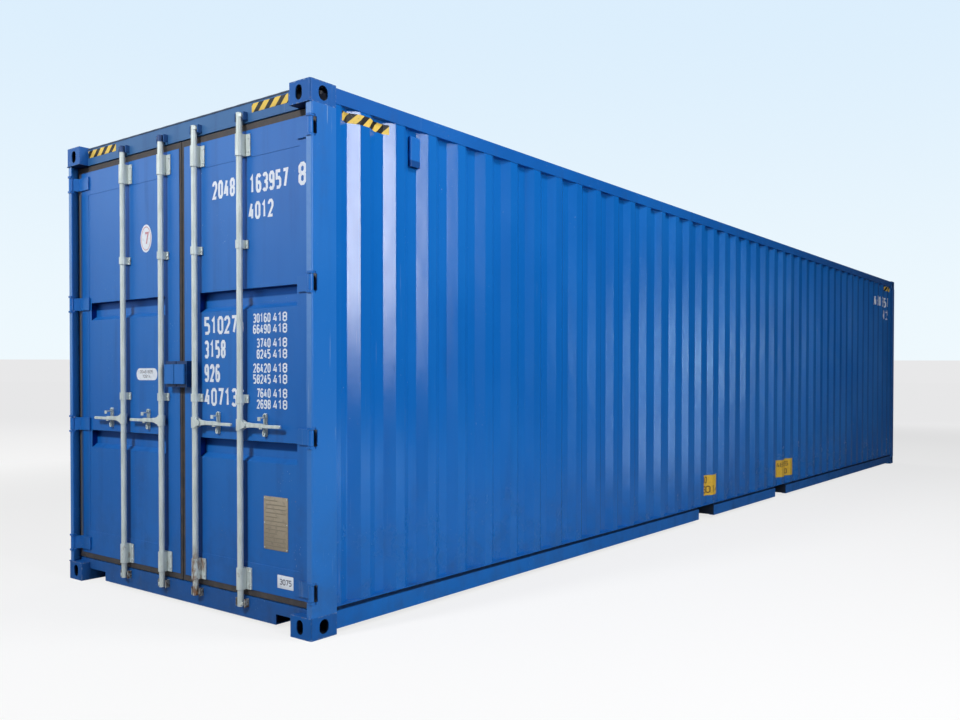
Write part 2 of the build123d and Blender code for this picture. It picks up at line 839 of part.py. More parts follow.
for name, side in door_sides.items():
    # Leaf frame: two tubular stiles, and two rails that open inwards as channels
    with BuildPart() as door_frame:
        with BuildSketch(Plane.YZ.offset(leaf_front)):
            with Locations((side * leaf_middle, (leaf_bottom + leaf_top) / 2)):
                Rectangle(leaf_width, leaf_height)
            with Locations((side * (panel_low_y + panel_high_y) / 2, (panel_bottom + panel_top) / 2)):
                Rectangle(
                    panel_high_y - panel_low_y, panel_top - panel_bottom, mode=Mode.SUBTRACT
                )
        extrude(amount=leaf_thickness)
        rail_middles = [leaf_bottom + rail_height / 2, leaf_top - rail_height / 2]
        with BuildSketch(Plane.YZ.offset(leaf_back)):
            with Locations([(side * leaf_middle, z) for z in rail_middles]):
                Rectangle(panel_high_y - panel_low_y, rail_height - 2 * rail_skin)
        extrude(amount=-(leaf_thickness - rail_skin), mode=Mode.SUBTRACT)
        with BuildSketch(Plane.XY.offset(leaf_bottom)):
            stile_middles = [panel_low_y - stile_width / 2, panel_high_y + stile_width / 2]
            with Locations([(leaf_front + leaf_thickness / 2, side * y) for y in stile_middles]):
                Rectangle(leaf_thickness - 2 * stile_wall, stile_width - 2 * stile_wall)
        extrude(amount=leaf_height, mode=Mode.SUBTRACT)
    save(door_frame, f"{name}_door_frame")

    # Leaf panel: sheet with two troughs pressed inwards across it
    panel_front = leaf_front + panel_step
    trough_low_y = leaf_seam_edge + stile_width + band_stile_gap_seam
    trough_high_y = leaf_hinge_edge - stile_width - band_stile_gap_hinge
    trough_middle = side * (trough_low_y + trough_high_y) / 2
    trough_half = (trough_high_y - trough_low_y) / 2
    with BuildPart() as door_panel:
        with Locations(
            (
                panel_front + panel_sheet / 2,
                side * (panel_low_y + panel_high_y) / 2,
                (panel_bottom + panel_top) / 2,
            )
        ):
            Box(panel_sheet, panel_high_y - panel_low_y, panel_top - panel_bottom)
        for level in band_tops:
            bottom = level - band_height
            with BuildSketch(Plane.XZ.offset(-trough_middle)):
                outline(
                    [
                        (panel_front, level + panel_sheet),
                        (panel_front + band_depth, level + panel_sheet - band_top_drop),
                        (panel_front + band_depth, bottom + band_slope_height),
                        (panel_front, bottom - panel_sheet),
                    ]
                )
            extrude(amount=trough_half + panel_sheet, both=True)
            with BuildSketch(Plane.XZ.offset(-trough_middle)):
                outline(
                    [
                        (panel_front, level),
                        (panel_front + band_depth - panel_sheet, level - band_top_drop),
                        (panel_front + band_depth - panel_sheet, bottom + band_slope_height),
                        (panel_front, bottom),
                    ]
                )
            extrude(amount=trough_half, both=True, mode=Mode.SUBTRACT)
    save(door_panel, f"{name}_door_panel")

    # Gasket: a ring with two lips round the edge of the leaf
    ring_bottom = sill_front_height + door_clearance
    ring_top = header_bottom - door_clearance
    with BuildPart() as door_gasket:
        with BuildSketch(Plane.YZ.offset(x_rear + gasket_front)):
            with Locations((side * (gasket_hinge_edge + seam_gap) / 2, (ring_top + ring_bottom) / 2)):
                Rectangle(gasket_hinge_edge - seam_gap, ring_top - ring_bottom)
            with Locations((side * leaf_middle, (leaf_bottom + leaf_top) / 2)):
                Rectangle(leaf_width, leaf_height, mode=Mode.SUBTRACT)
        extrude(amount=gasket_back - gasket_front)
        groove = gasket_back - gasket_front - 2 * gasket_lip
        with BuildSketch(Plane.YZ.offset(x_rear + gasket_front + gasket_lip)):
            with Locations((side * (gasket_hinge_edge + seam_gap) / 2, (ring_top + ring_bottom) / 2)):
                Rectangle(gasket_hinge_edge - seam_gap, ring_top - ring_bottom)
                Rectangle(
                    gasket_hinge_edge - seam_gap - 2 * gasket_groove,
                    ring_top - ring_bottom - 2 * gasket_groove,
                    mode=Mode.SUBTRACT,
                )
        extrude(amount=groove, mode=Mode.SUBTRACT)
        with BuildSketch(Plane.XY.offset(ring_bottom)):
            outline(
                [
                    (x_rear + gasket_front, side * seam_gap),
                    (x_rear + gasket_back, side * seam_gap),
                    (x_rear + gasket_back, side * (seam_gap + gasket_back_taper)),
                ]
            )
        extrude(amount=ring_top - ring_bottom, mode=Mode.SUBTRACT)
    save(door_gasket, f"{name}_door_gasket")

    # Hinge blades: flat on the leaf, cranked out to a knuckle round the pin
    pin_x = x_rear + pin_recess
    pin_y = side * pin_from_centre
    blade_end = side * (pin_from_centre - blade_reach)
    crank_x = leaf_front - blade_thickness / 2
    crank_y = side * leaf_hinge_edge
    with BuildPart() as hinge_blades:
        for level in hinge_levels:
            with BuildSketch(Plane.XY.offset(level - blade_height / 2)):
                outline(
                    [
                        (leaf_front - blade_thickness, blade_end),
                        (leaf_front, blade_end),
                        (leaf_front, crank_y),
                        (leaf_front - blade_thickness, crank_y),
                    ]
                )
                crank = Vector(crank_x - pin_x, crank_y - pin_y)
                turn = Vector(-crank.Y, crank.X).normalized() * crank_thickness / 2
                outline(
                    [
                        (pin_x + turn.X, pin_y + turn.Y),
                        (pin_x - turn.X, pin_y - turn.Y),
                        (crank_x - turn.X, crank_y - turn.Y),
                        (crank_x + turn.X, crank_y + turn.Y),
                    ]
                )
                with Locations((pin_x, pin_y)):
                    Circle(knuckle_radius)
                    Circle(pin_radius + running_clearance, mode=Mode.SUBTRACT)
            extrude(amount=blade_height)
    save(hinge_blades, f"{name}_door_hinge_blades")

    # Brackets: a strap round each bar at the leaf's ends, two guides between, and a retainer
    with BuildPart() as door_brackets:
        bars = [bar_places[f"{name}_outer"], bar_places[f"{name}_inner"]]
        strap_radius = bar_radius + running_clearance + bracket_strap
        straps = [
            (leaf_bottom, bracket_height, bracket_wing),
            (leaf_top - bracket_top_gap - bracket_height, bracket_height, bracket_wing),
        ]
        straps += [(level - guide_height / 2, guide_height, guide_wing) for level in guide_levels]
        for base, tall, wing in straps:
            with BuildSketch(Plane.XY.offset(base)):
                for y in bars:
                    with Locations((leaf_front - bracket_plate / 2, y)):
                        Rectangle(bracket_plate, 2 * wing)
                    with Locations(((bar_axis_x + leaf_front) / 2, y)):
                        Rectangle(leaf_front - bar_axis_x, 2 * strap_radius)
                    with Locations((bar_axis_x, y)):
                        Circle(strap_radius)
                        Circle(bar_radius + running_clearance, mode=Mode.SUBTRACT)
            extrude(amount=tall)
        for y in bars:
            # Retainer: a round ended plate with an eye, a shelf under the handle and a hook over it
            retainer_y = y + side * retainer_from_bar
            with BuildSketch(Plane.YZ.offset(retainer_front)):
                with Locations((retainer_y, retainer_middle)):
                    SlotOverall(retainer_length, retainer_width, rotation=90)
                with Locations((retainer_y, retainer_eye)):
                    Circle(retainer_hole_radius, mode=Mode.SUBTRACT)
            extrude(amount=retainer_plate)
            with BuildSketch(Plane.XZ.offset(-retainer_y)):
                with Locations(((shelf_front + retainer_front) / 2, shelf_top - retainer_shelf / 2)):
                    Rectangle(retainer_front - shelf_front, retainer_shelf)
            extrude(amount=catch_width / 2, both=True)
            with BuildSketch(Plane.XZ.offset(-retainer_y)):
                outline(
                    [
                        (retainer_front, hook_level),
                        (retainer_front, hook_level + hook_thickness),
                        (x_rear + hook_front, hook_level + hook_thickness),
                        (x_rear + hook_front, hook_level - hook_drop),
                        (x_rear + hook_front + retainer_shelf, hook_level - hook_drop),
                        (x_rear + hook_front + retainer_shelf, hook_level),
                    ]
                )
            extrude(amount=hook_width / 2, both=True)
            with BuildSketch(Plane.YZ.offset(retainer_front)):
                with Locations((retainer_y, pivot_level)):
                    Circle(catch_pin_radius)
            extrude(amount=-(2 * catch_gap + catch_thickness))
            with BuildSketch(Plane.YZ.offset(catch_back - catch_thickness - catch_gap / 2)):
                with Locations((retainer_y, pivot_level)):
                    Circle(catch_head_radius)
            extrude(amount=-catch_head_thickness)
    save(door_brackets, f"{name}_door_brackets")

    # Lock box: a steel box over the seam, open below, with a raised front, half of it on each door
    raised_half_width = lock_box_half_width - lock_box_side_border
    raised_bottom = lock_box_bottom + lock_box_border
    raised_top = lock_box_top - lock_box_border
    box_parts = [
        (lock_box_body_recess, lock_box_half_width, lock_box_bottom, lock_box_top, 0),
        (lock_box_recess, raised_half_width, raised_bottom, raised_top, lock_box_wall),
    ]
    with BuildPart() as lock_box:
        for recess, half_width, low, high, _ in box_parts:
            box_middle = (x_rear + (recess + leaf_recess) / 2, side * (half_width + seam_gap) / 2)
            with Locations((*box_middle, (low + high) / 2)):
                Box(leaf_recess - recess, half_width - seam_gap, high - low)
        for recess, half_width, low, high, lower_wall in box_parts:
            box_middle = (x_rear + (recess + leaf_recess) / 2, side * (half_width + seam_gap) / 2)
            with Locations((*box_middle, (low + lower_wall + high - lock_box_wall) / 2)):
                Box(
                    leaf_recess - recess - 2 * lock_box_wall,
                    half_width - seam_gap - 2 * lock_box_wall,
                    high - low - lower_wall - lock_box_wall,
                    mode=Mode.SUBTRACT,
                )
    save(lock_box, f"{name}_lock_box")

# Locking bars with a cam at each end and a hub for the handle, the handles and the catches
for name, y in bar_places.items():
    side = 1 if y > 0 else -1
    pivot_y = y + side * handle_pivot
    ear_inside = handle_thickness / 2 + hub_ear_gap
    with BuildPart() as bar:
        with BuildSketch(Plane.XY.offset(bar_bottom)):
            with Locations((bar_axis_x, y)):
                Circle(bar_radius)
        extrude(amount=bar_top - bar_bottom)
        for base in (bar_bottom + cam_from_end, bar_top - cam_from_end - cam_thickness):
            with BuildSketch(Plane.XY.offset(base)):
                outline(
                    [
                        (bar_axis_x + bar_radius / 2, y),
                        (bar_axis_x + bar_radius / 2, y + side * cam_radius),
                        (bar_axis_x - bar_radius / 2, y + side * cam_radius),
                        (bar_axis_x - bar_radius, y),
                    ]
                )
            extrude(amount=cam_thickness)
        with BuildSketch(Plane.XY.offset(handle_level - hub_height / 2)):
            with Locations((bar_axis_x, y)):
                Circle(hub_radius)
        extrude(amount=hub_height)
        for ear in (-1, 1):
            ear_middle = bar_axis_x + ear * (ear_inside + hub_ear_thickness / 2)
            with BuildSketch(Plane.YZ.offset(ear_middle)):
                outline(
                    [
                        (y, handle_level - hub_height / 2),
                        (pivot_y, handle_level - handle_eye_radius),
                        (pivot_y, handle_level + handle_eye_radius),
                        (y, handle_level + hub_height / 2),
                    ]
                )
                with Locations((pivot_y, handle_level)):
                    Circle(handle_eye_radius)
            extrude(amount=hub_ear_thickness / 2, both=True)
        with BuildSketch(Plane.YZ.offset(bar_axis_x)):
            with Locations((pivot_y, handle_level)):
                Circle(handle_pin_radius)
        extrude(amount=ear_inside + hub_ear_thickness, both=True)
    save(bar, f"{name}_bar")

    # Handle: an eye, a tapered shoulder as far as the retainer and a thinner grip
    shoulder_half = handle_shoulder_height / 2
    grip_radius = handle_grip_height / 2
    grip_start = y + side * (retainer_from_bar + retainer_width)
    grip_end = y + side * (handle_length - grip_radius)
    rest_level = handle_level - shoulder_half
    with BuildPart() as handle:
        with BuildSketch(Plane.YZ.offset(bar_axis_x)):
            outline(
                [
                    (pivot_y, handle_level - handle_eye_radius),
                    (y + side * handle_shoulder, rest_level),
                    (grip_end, rest_level),
                    (grip_end, rest_level + handle_grip_height),
                    (grip_start, rest_level + handle_grip_height),
                    (y + side * retainer_from_bar, handle_level + shoulder_half),
                    (y + side * handle_shoulder, handle_level + shoulder_half),
                    (pivot_y, handle_level + handle_eye_radius),
                ]
            )
            with Locations((grip_end, rest_level + grip_radius)):
                Circle(grip_radius)
            with Locations((pivot_y, handle_level)):
                Circle(handle_eye_radius)
                Circle(handle_pin_radius + running_clearance, mode=Mode.SUBTRACT)
        extrude(amount=handle_thickness / 2, both=True)
        chamfer(handle.edges().group_by(Axis.X)[0], handle_edge_chamfer)
    save(handle, f"{name}_handle")

    # Catch: a lobed plate that hangs from the retainer's pin
    catch_y = y + side * retainer_from_bar
    with BuildPart() as catch:
        with BuildSketch(Plane.YZ.offset(catch_back)):
            with Locations((catch_y, pivot_level - catch_length / 2)):
                SlotCenterToCenter(catch_length, catch_width, rotation=90)
            with Locations((catch_y, pivot_level)):
                Circle(catch_pin_radius + running_clearance, mode=Mode.SUBTRACT)
            with Locations((catch_y, pivot_level - catch_length)):
                Circle(catch_pin_radius, mode=Mode.SUBTRACT)
        extrude(amount=-catch_thickness)
    save(catch, f"{name}_catch")
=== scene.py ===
"""Looks of a forty foot high cube shipping container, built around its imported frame.

Metres, +Z up, the doors at -X. Seen from outside the doors, left is +Y and right is -Y.
"""

import logging
from collections.abc import Sequence
from dataclasses import dataclass
from enum import Enum
from typing import Any, Protocol, Union

import bpy
import numpy as np
from mathutils import Matrix, Vector


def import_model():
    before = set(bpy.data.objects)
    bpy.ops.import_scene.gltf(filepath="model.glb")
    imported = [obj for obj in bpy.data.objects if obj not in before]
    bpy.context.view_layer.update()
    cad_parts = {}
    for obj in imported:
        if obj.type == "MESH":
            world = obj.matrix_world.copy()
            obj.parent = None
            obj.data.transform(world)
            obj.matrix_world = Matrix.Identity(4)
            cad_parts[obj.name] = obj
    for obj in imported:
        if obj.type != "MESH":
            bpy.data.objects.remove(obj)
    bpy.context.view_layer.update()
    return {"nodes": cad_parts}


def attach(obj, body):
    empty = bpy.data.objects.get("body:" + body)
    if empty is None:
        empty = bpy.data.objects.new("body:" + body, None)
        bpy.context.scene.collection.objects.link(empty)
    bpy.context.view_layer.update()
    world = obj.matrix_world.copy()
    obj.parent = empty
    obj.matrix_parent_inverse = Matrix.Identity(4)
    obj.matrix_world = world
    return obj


LOG = logging.getLogger("container")

Colour = tuple[float, float, float, float]
Shade = Union[Colour, bpy.types.NodeSocket]
Number = Union[float, "Value"]
Pair = tuple[float, float]
Place = tuple[float, float, float]

LENGTH = 12.192
WIDTH = 2.438
HEIGHT = 2.896
REAR = -LENGTH / 2
SIDE = WIDTH / 2
CASTING = (0.178, 0.162, 0.118)
BARS = (0.594, 0.172)
# How far in from the door end's face: its frame, the doors' leaves and their panels.
END_FRAME_DEPTH = 0.060
LEAF_DEPTH = 0.066
PANEL_DEPTH = 0.068


def tint(red: int, green: int, blue: int) -> Colour:
    """Linear colour of a red, green and blue written from 0 to 255.

    Args:
        red: Red part.
        green: Green part.
        blue: Blue part.

    Returns:
        The linear colour with a full alpha.
    """
    share = np.array([red, green, blue]) / 255
    linear = np.where(share < 0.04045, share / 12.92, ((share + 0.055) / 1.055) ** 2.4)
    return (*linear.tolist(), 1.0)


# --- Shader maths ---


class Value:
    """A number that varies over a surface. Python's operators add the Math nodes."""

    def __init__(self, recipe: "Recipe", socket: bpy.types.NodeSocket) -> None:
        """Wrap an output socket of a recipe's tree."""
        self.recipe = recipe
        self.socket = socket

    def _math(self, operation: str, *terms: Number) -> "Value":
        """Add a Math node over the given terms and wrap its result."""
        made = self.recipe.node("ShaderNodeMath", {"operation": operation}, dict(enumerate(terms)))
        return Value(self.recipe, made.outputs[0])

    def __add__(self, other: Number) -> "Value":
        """Sum."""
        return self._math("ADD", self, other)

    def __sub__(self, other: Number) -> "Value":
        """Difference."""
        return self._math("SUBTRACT", self, other)

    def __rsub__(self, other: Number) -> "Value":
        """Difference from a number on the left."""
        return self._math("SUBTRACT", other, self)

    def __mul__(self, other: Number) -> "Value":
        """Product."""
        return self._math("MULTIPLY", self, other)

    def __truediv__(self, other: Number) -> "Value":
        """Quotient."""
        return self._math("DIVIDE", self, other)

    __radd__ = __add__
    __rmul__ = __mul__

    def __abs__(self) -> "Value":
        """Size without its sign."""
        return self._math("ABSOLUTE", self)

    def low(self, other: Number) -> "Value":
        """The smaller of two numbers."""
        return self._math("MINIMUM", self, other)

    def high(self, other: Number) -> "Value":
        """The larger of two numbers."""
        return self._math("MAXIMUM", self, other)

    def fraction(self) -> "Value":
        """What is left after the whole part is taken off."""
        return self._math("FRACT", self)

    def rise(self, start: float, end: float) -> "Value":
        """Go smoothly from 0 at start to 1 at end.

        Args:
            start: Where the result is 0.
            end: Where the result is 1; less than start for a fall.

        Returns:
            The smooth step.
        """
        low, high = sorted((start, end))
        inputs = {0: self, 1: low, 2: high, 3: float(start > end), 4: float(start < end)}
        made = self.recipe.node("ShaderNodeMapRange", {"interpolation_type": "SMOOTHSTEP"}, inputs)
        return Value(self.recipe, made.outputs[0])

    def near(self, centre: float, reach: float) -> "Value":
        """One at centre, falling smoothly to zero at reach away from it."""
        return abs(self - centre).rise(reach, 0.0)


class Recipe:
    """The node tree of one material, or of the sky."""

    def __init__(self, owner: bpy.types.Material | bpy.types.World, place: str = "Object") -> None:
        """Empty a tree and start it with its coordinates.

        Args:
            owner: The material or world that the tree belongs to.
            place: The texture coordinate that it reads.
        """
        owner.use_nodes = True
        self.owner = owner
        self.tree = owner.node_tree
        self.tree.nodes.clear()
        self.place = self.node("ShaderNodeTexCoord").outputs[place]

    @classmethod
    def named(cls, name: str) -> "Recipe":
        """Start the tree of a new material."""
        return cls(bpy.data.materials.new(name))

    def node(
        self,
        kind: str,
        settings: dict[str, Any] | None = None,
        inputs: dict[int | str, Any] | None = None,
    ) -> bpy.types.Node:
        """Add any node.

        Args:
            kind: The node's type.
            settings: Properties that are set first.
            inputs: Values or links, by the sockets' names or places.

        Returns:
            The new node.
        """
        made = self.tree.nodes.new(kind)
        for key, setting in (settings or {}).items():
            setattr(made, key, setting)
        for key, given in (inputs or {}).items():
            given = given.socket if isinstance(given, Value) else given
            if isinstance(given, bpy.types.NodeSocket):
                self.tree.links.new(given, made.inputs[key])
            else:
                made.inputs[key].default_value = given
        return made

    def split(self, vector: bpy.types.NodeSocket) -> tuple[Value, Value, Value]:
        """A vector's parts along X, Y and Z."""
        made = self.node("ShaderNodeSeparateXYZ", inputs={0: vector})
        return tuple(Value(self, socket) for socket in made.outputs)

    def axes(self) -> tuple[Value, Value, Value]:
        """The place on the container along X, Y and Z, in metres."""
        return self.split(self.place)

    def facing(self) -> tuple[Value, Value, Value]:
        """The surface's outward direction along X, Y and Z."""
        return self.split(self.node("ShaderNodeNewGeometry").outputs["Normal"])

    def noise(
        self,
        scale: float,
        detail: float = 4.0,
        stretch: Sequence[float] = (1, 1, 1),
        rough: float = 0.5,
    ) -> Value:
        """Smooth noise from 0 to 1 on Object coordinates.

        Args:
            scale: Blobs per metre.
            detail: Octaves of finer noise.
            stretch: Scale along each axis; a small number draws the blobs out.
            rough: Strength of the finer octaves.

        Returns:
            The noise.
        """
        size = [scale * share for share in stretch]
        place = self.node("ShaderNodeMapping", inputs={"Vector": self.place, "Scale": size})
        inputs = {"Vector": place.outputs[0], "Scale": 1.0, "Detail": detail, "Roughness": rough}
        return Value(self, self.node("ShaderNodeTexNoise", inputs=inputs).outputs[0])

    def mix(self, factor: Number, first: Shade, second: Shade) -> bpy.types.NodeSocket:
        """Blend two colours: 0 gives the first, 1 the second."""
        settings = {"data_type": "RGBA", "clamp_factor": True}
        return self.node("ShaderNodeMix", settings, {0: factor, 6: first, 7: second}).outputs[2]

    def relief(
        self, height: Value, depth: float, before: bpy.types.NodeSocket | None = None
    ) -> bpy.types.NodeSocket:
        """Raise a surface by a bump.

        Args:
            height: The bump's shape, from 0 to 1.
            depth: Its full height in metres.
            before: The bump that it lies on.

        Returns:
            The bumped normal.
        """
        inputs = {"Height": height, "Distance": depth, "Strength": 1.0}
        if before is not None:
            inputs["Normal"] = before
        return self.node("ShaderNodeBump", inputs=inputs).outputs[0]

    def surface(self, **sockets: Any) -> bpy.types.Material:
        """Close the tree with a Principled shader.

        Args:
            sockets: Values or links by the sockets' names, with _ for a space.

        Returns:
            The finished material.
        """
        inputs = {name.replace("_", " "): given for name, given in sockets.items()}
        shader = self.node("ShaderNodeBsdfPrincipled", inputs=inputs)
        self.node("ShaderNodeOutputMaterial", inputs={"Surface": shader.outputs[0]})
        return self.owner


# --- Finishes ---


class Wear(Enum):
    """Where a painted piece is worn most."""

    SHEET = "sheet"
    POST = "post"
    DOOR = "door"
    CASTING = "casting"
    EVEN = "even"


class PaintedLightAndDirt(Enum):
    """Painted shade, painted highlights and settled dirt on a painted piece: where each lies, and
    its colour.
    """

    # RECESS, BOX, PANEL, HOLLOW and SLOT are painted shade, EDGE is a painted highlight, and KEEPER
    # is rust-brown dirt and chalk over painted shade.
    NONE = None
    RECESS = tint(12, 26, 54)
    BOX = tint(14, 34, 72)
    PANEL = tint(4, 56, 122)
    KEEPER = tint(98, 74, 56)
    EDGE = tint(140, 176, 216)
    HOLLOW = tint(8, 14, 30)
    SLOT = tint(4, 40, 96)


@dataclass(frozen=True)
class Paint:
    """Blue paint on steel, with fading, runs of dirt, scratches and chips.

    A sheet's inside is grey: its lining is the axis that it faces along. The heights are of
    a door panel's two ledges, the bottom rails' recess and the vents' slot, where shade is painted.
    """

    name: str
    colour: Colour
    pale: Colour
    deep: Colour
    wear: Wear
    roughness: float = 0.34
    lining: int | None = None
    sheen: float = 0.42
    light_and_dirt: PaintedLightAndDirt = PaintedLightAndDirt.NONE
    ledges: Pair = (1.858, 1.010)
    ledge_height: float = 0.052
    recess: Pair = (0.117, 0.151)
    slot_top: float = 2.630
    leaf_edge: float = 1.165
    middle_height: float = 1.4
    primer: Colour = tint(150, 172, 200)
    rust: Colour = tint(96, 58, 34)
    grime: Colour = tint(52, 60, 66)
    lime: Colour = tint(158, 160, 154)
    # Painted shade that darkens the keepers.
    keeper_shade: Colour = tint(20, 44, 74)
    rubbed: Colour = tint(58, 62, 72)
    inside: Colour = tint(176, 180, 178)
    scuffed: Colour = tint(122, 124, 120)

    def edges(self, recipe: Recipe) -> tuple[Value, Value]:
        """Find the castings' edges and their hollow.

        Each plane's mask is 1 near the outer or the inner face of that direction. An edge is
        near two planes, and the hollow near none.

        Args:
            recipe: The material that is being made.

        Returns:
            The mask of the edges and the mask of the hollow.
        """
        x, y, z = recipe.axes()
        depths = (LENGTH / 2 - abs(x), SIDE - abs(y), z.low(HEIGHT - z))
        ends, sides, faces = [
            depth.near(0.0, 0.010).high(depth.near(size, 0.008))
            for depth, size in zip(depths, CASTING)
        ]
        pairs = ends * sides + ends * faces + sides * faces
        return pairs.low(1.0), 1.0 - ends.high(sides).high(faces)

    def lay_light_and_dirt(self, recipe: Recipe, colour: Shade) -> Shade:
        """Lay over the paint what the finish asks for: painted shade, a painted highlight, dirt
        with painted shade.

        Args:
            recipe: The material that is being made.
            colour: The paint's colour so far.

        Returns:
            The colour with the painted light and the dirt on it.
        """
        x, y, z = recipe.axes()
        ragged = recipe.noise(30.0, 4.0, rough=0.65).rise(0.20, 0.60) * 0.25 + 0.75
        tone = self.light_and_dirt.value
        # Painted shade in the bottom rails' recess, under the walls' lower edge.
        if self.light_and_dirt is PaintedLightAndDirt.RECESS:
            low, high = self.recess
            level = z.rise(low, low + 0.007) * z.rise(high, high - 0.005)
            mask = level * abs(y).rise(SIDE - 0.003, SIDE - 0.009) * ragged * 0.92
        # Painted shade on the lock box's body, behind its proud front plate.
        elif self.light_and_dirt is PaintedLightAndDirt.BOX:
            mask = x.rise(REAR + 0.009, REAR + 0.022) * ragged * 0.85
        # Painted shade in the castings' hollows and on the top castings' undersides.
        elif self.light_and_dirt is PaintedLightAndDirt.HOLLOW:
            beneath = recipe.facing()[2].rise(-0.5, -0.9) * z.rise(2.0, 2.5)
            mask = self.edges(recipe)[1].high(beneath * 0.85)
        # Painted shade at the foot of each vent, below its slot's top.
        elif self.light_and_dirt is PaintedLightAndDirt.SLOT:
            mask = z.rise(self.slot_top, self.slot_top - 0.006) * ragged * 0.7
        # A painted highlight on the rear posts' end faces beside the corner, stronger higher up.
        elif self.light_and_dirt is PaintedLightAndDirt.EDGE:
            strip = abs(y).rise(SIDE - 0.044, SIDE - 0.034) * x.rise(REAR + 0.013, REAR + 0.007)
            mask = strip * (z.rise(0.8, 1.9) * 0.30 + 0.10) * ragged
        # The keepers are darkened all over by painted shade; the lower ones also get rust-brown
        # dirt and chalk.
        elif self.light_and_dirt is PaintedLightAndDirt.KEEPER:
            tone = recipe.mix(recipe.noise(70.0, 4.0).rise(0.45, 0.62), self.lime, tone)
            colour = recipe.mix(0.55, colour, self.keeper_shade)
            mask = z.rise(1.6, 1.2)
        else:
            return colour
        return recipe.mix(mask, colour, tone)

    def painted_shadow(self, recipe: Recipe) -> Value:
        """Find the painted shadow behind the locking bars and, on a panel, the painted shade on its
        slopes and under its ledges.

        Args:
            recipe: The material that is being made.

        Returns:
            The painted shadow's mask.
        """
        x, y, z = recipe.axes()
        front = REAR + PANEL_DEPTH
        outer, inner = [abs(y).near(bar, 0.030) for bar in BARS]
        behind = (outer.high(inner) * 2.2).low(1.0)
        shaded = behind * x.rise(front + 0.0016, front + 0.0006) * z.rise(0.20, 0.30) * 0.80
        if self.light_and_dirt is not PaintedLightAndDirt.PANEL:
            return shaded
        ahead, _, upward = recipe.facing()
        # Painted shade on the panel's slopes that face sideways or down.
        sloped = abs(ahead).rise(0.97, 0.88) * upward.rise(0.30, 0.05)
        upper, lower = [
            z.rise(top - self.ledge_height, top - self.ledge_height + 0.010)
            * z.rise(top + 0.001, top - 0.001)
            for top in self.ledges
        ]
        under = upper.high(lower) * x.rise(front + 0.004, front + 0.012)
        return shaded.high(sloped.high(under) * 0.84)

    def worn(self, recipe: Recipe, low: Value) -> tuple[Value, Value, Value]:
        """Find where the paint is scratched, chipped and rusty.

        Args:
            recipe: The material that is being made.
            low: One near the ground, zero higher up.

        Returns:
            The masks of the scratches, the chips and the rust in them.
        """
        scratch = recipe.noise(120.0, 2.0, (1, 1, 0.02)).rise(0.705, 0.735)
        scratch = scratch * recipe.noise(2.1, 2.0).rise(0.52, 0.64)
        speck = recipe.noise(95.0, 2.0).rise(0.71, 0.74)
        if self.wear is Wear.POST:
            chips = speck * low.high(0.25) * recipe.noise(5.0, 2.0).rise(0.40, 0.55)
        else:
            chips = speck * recipe.noise(3.3, 2.0).rise(0.54, 0.66)
        rust = chips * recipe.noise(14.0, 2.0).rise(0.56, 0.66)
        if self.wear is Wear.CASTING:
            rubbed = recipe.noise(55.0, 5.0, rough=0.7).rise(0.49, 0.62)
            chips = chips.high(self.edges(recipe)[0] * rubbed * 0.75)
            rust = (chips * recipe.noise(22.0, 3.0).rise(0.50, 0.62)).low(1.0)
        return scratch * (0.5 if self.wear is Wear.POST else 0.12), chips, rust

    def lined(self, recipe: Recipe, colour: Shade) -> Shade:
        """Paint a sheet's inside grey, with scuffs along it.

        Args:
            recipe: The material that is being made.
            colour: The colour of its outside.

        Returns:
            The colour of both sides.
        """
        if self.lining is None:
            return colour
        x, y, z = recipe.axes()
        place = (x, y, z - self.middle_height)[self.lining]
        inward = (place * recipe.facing()[self.lining]).rise(0.02, -0.02)
        scuff = recipe.noise(16.0, 5.0, (0.12, 0.12, 1.0)).rise(0.55, 0.72)
        return recipe.mix(inward, colour, recipe.mix(scuff * 0.4, self.inside, self.scuffed))

    def dress(self) -> bpy.types.Material:
        """Make the paint's material.

        Returns:
            The material.
        """
        recipe = Recipe.named(self.name)
        x, y, z = recipe.axes()
        sheet, door = self.wear is Wear.SHEET, self.wear is Wear.DOOR
        clouds = recipe.noise(0.9, 3.0).rise(0.36, 0.68)
        runs = recipe.noise(9.0, 5.0, (1, 1, 0.07)).rise(0.50, 0.74)
        low = z.rise(0.9, 0.05)
        scratch, chips, rust = self.worn(recipe, low)
        colour = recipe.mix(clouds * 0.55, self.colour, self.pale)
        colour = recipe.mix(runs * 0.35, colour, self.deep)
        colour = recipe.mix(scratch, colour, self.primer)
        colour = recipe.mix(chips * (0.45 if sheet else 0.8), colour, self.primer)
        colour = recipe.mix(rust * 0.85, colour, self.rust)
        blotch = recipe.noise(6.0, 6.0, rough=0.65).rise(0.35, 0.75)
        dirt = (low * 0.26 + runs * (0.08 if sheet else 0.22)) * blotch
        colour = self.lay_light_and_dirt(recipe, recipe.mix(dirt, colour, self.grime))
        shadow_sockets = {}
        if door:
            painted_shadow = self.painted_shadow(recipe)
            # Painted shadow behind the bars and under the panel's ledges, also made metallic there
            # so that it takes less diffuse light.
            colour = recipe.mix(painted_shadow, colour, PaintedLightAndDirt.PANEL.value)
            shadow_sockets = {"Metallic": painted_shadow}
            rubbed = y.rise(self.leaf_edge - 0.019, self.leaf_edge - 0.015)
            rubbed = rubbed * x.rise(REAR + 0.070, REAR + 0.064)
            colour = recipe.mix(rubbed * 0.85, colour, self.rubbed)
        waves = recipe.noise(5.0, 2.0, (1, 1, 0.35))
        bump = recipe.relief(waves, 0.0035 if sheet or door else 0.0012)
        bump = recipe.relief(recipe.noise(420.0, 2.0), 0.00012, bump)
        return recipe.surface(
            Base_Color=self.lined(recipe, colour),
            Roughness=self.roughness + clouds * 0.06 + dirt * 0.5 + chips * 0.25,
            Specular_IOR_Level=self.sheen,
            Normal=recipe.relief(1.0 - chips, 0.0003, bump),
            **shadow_sockets,
        )


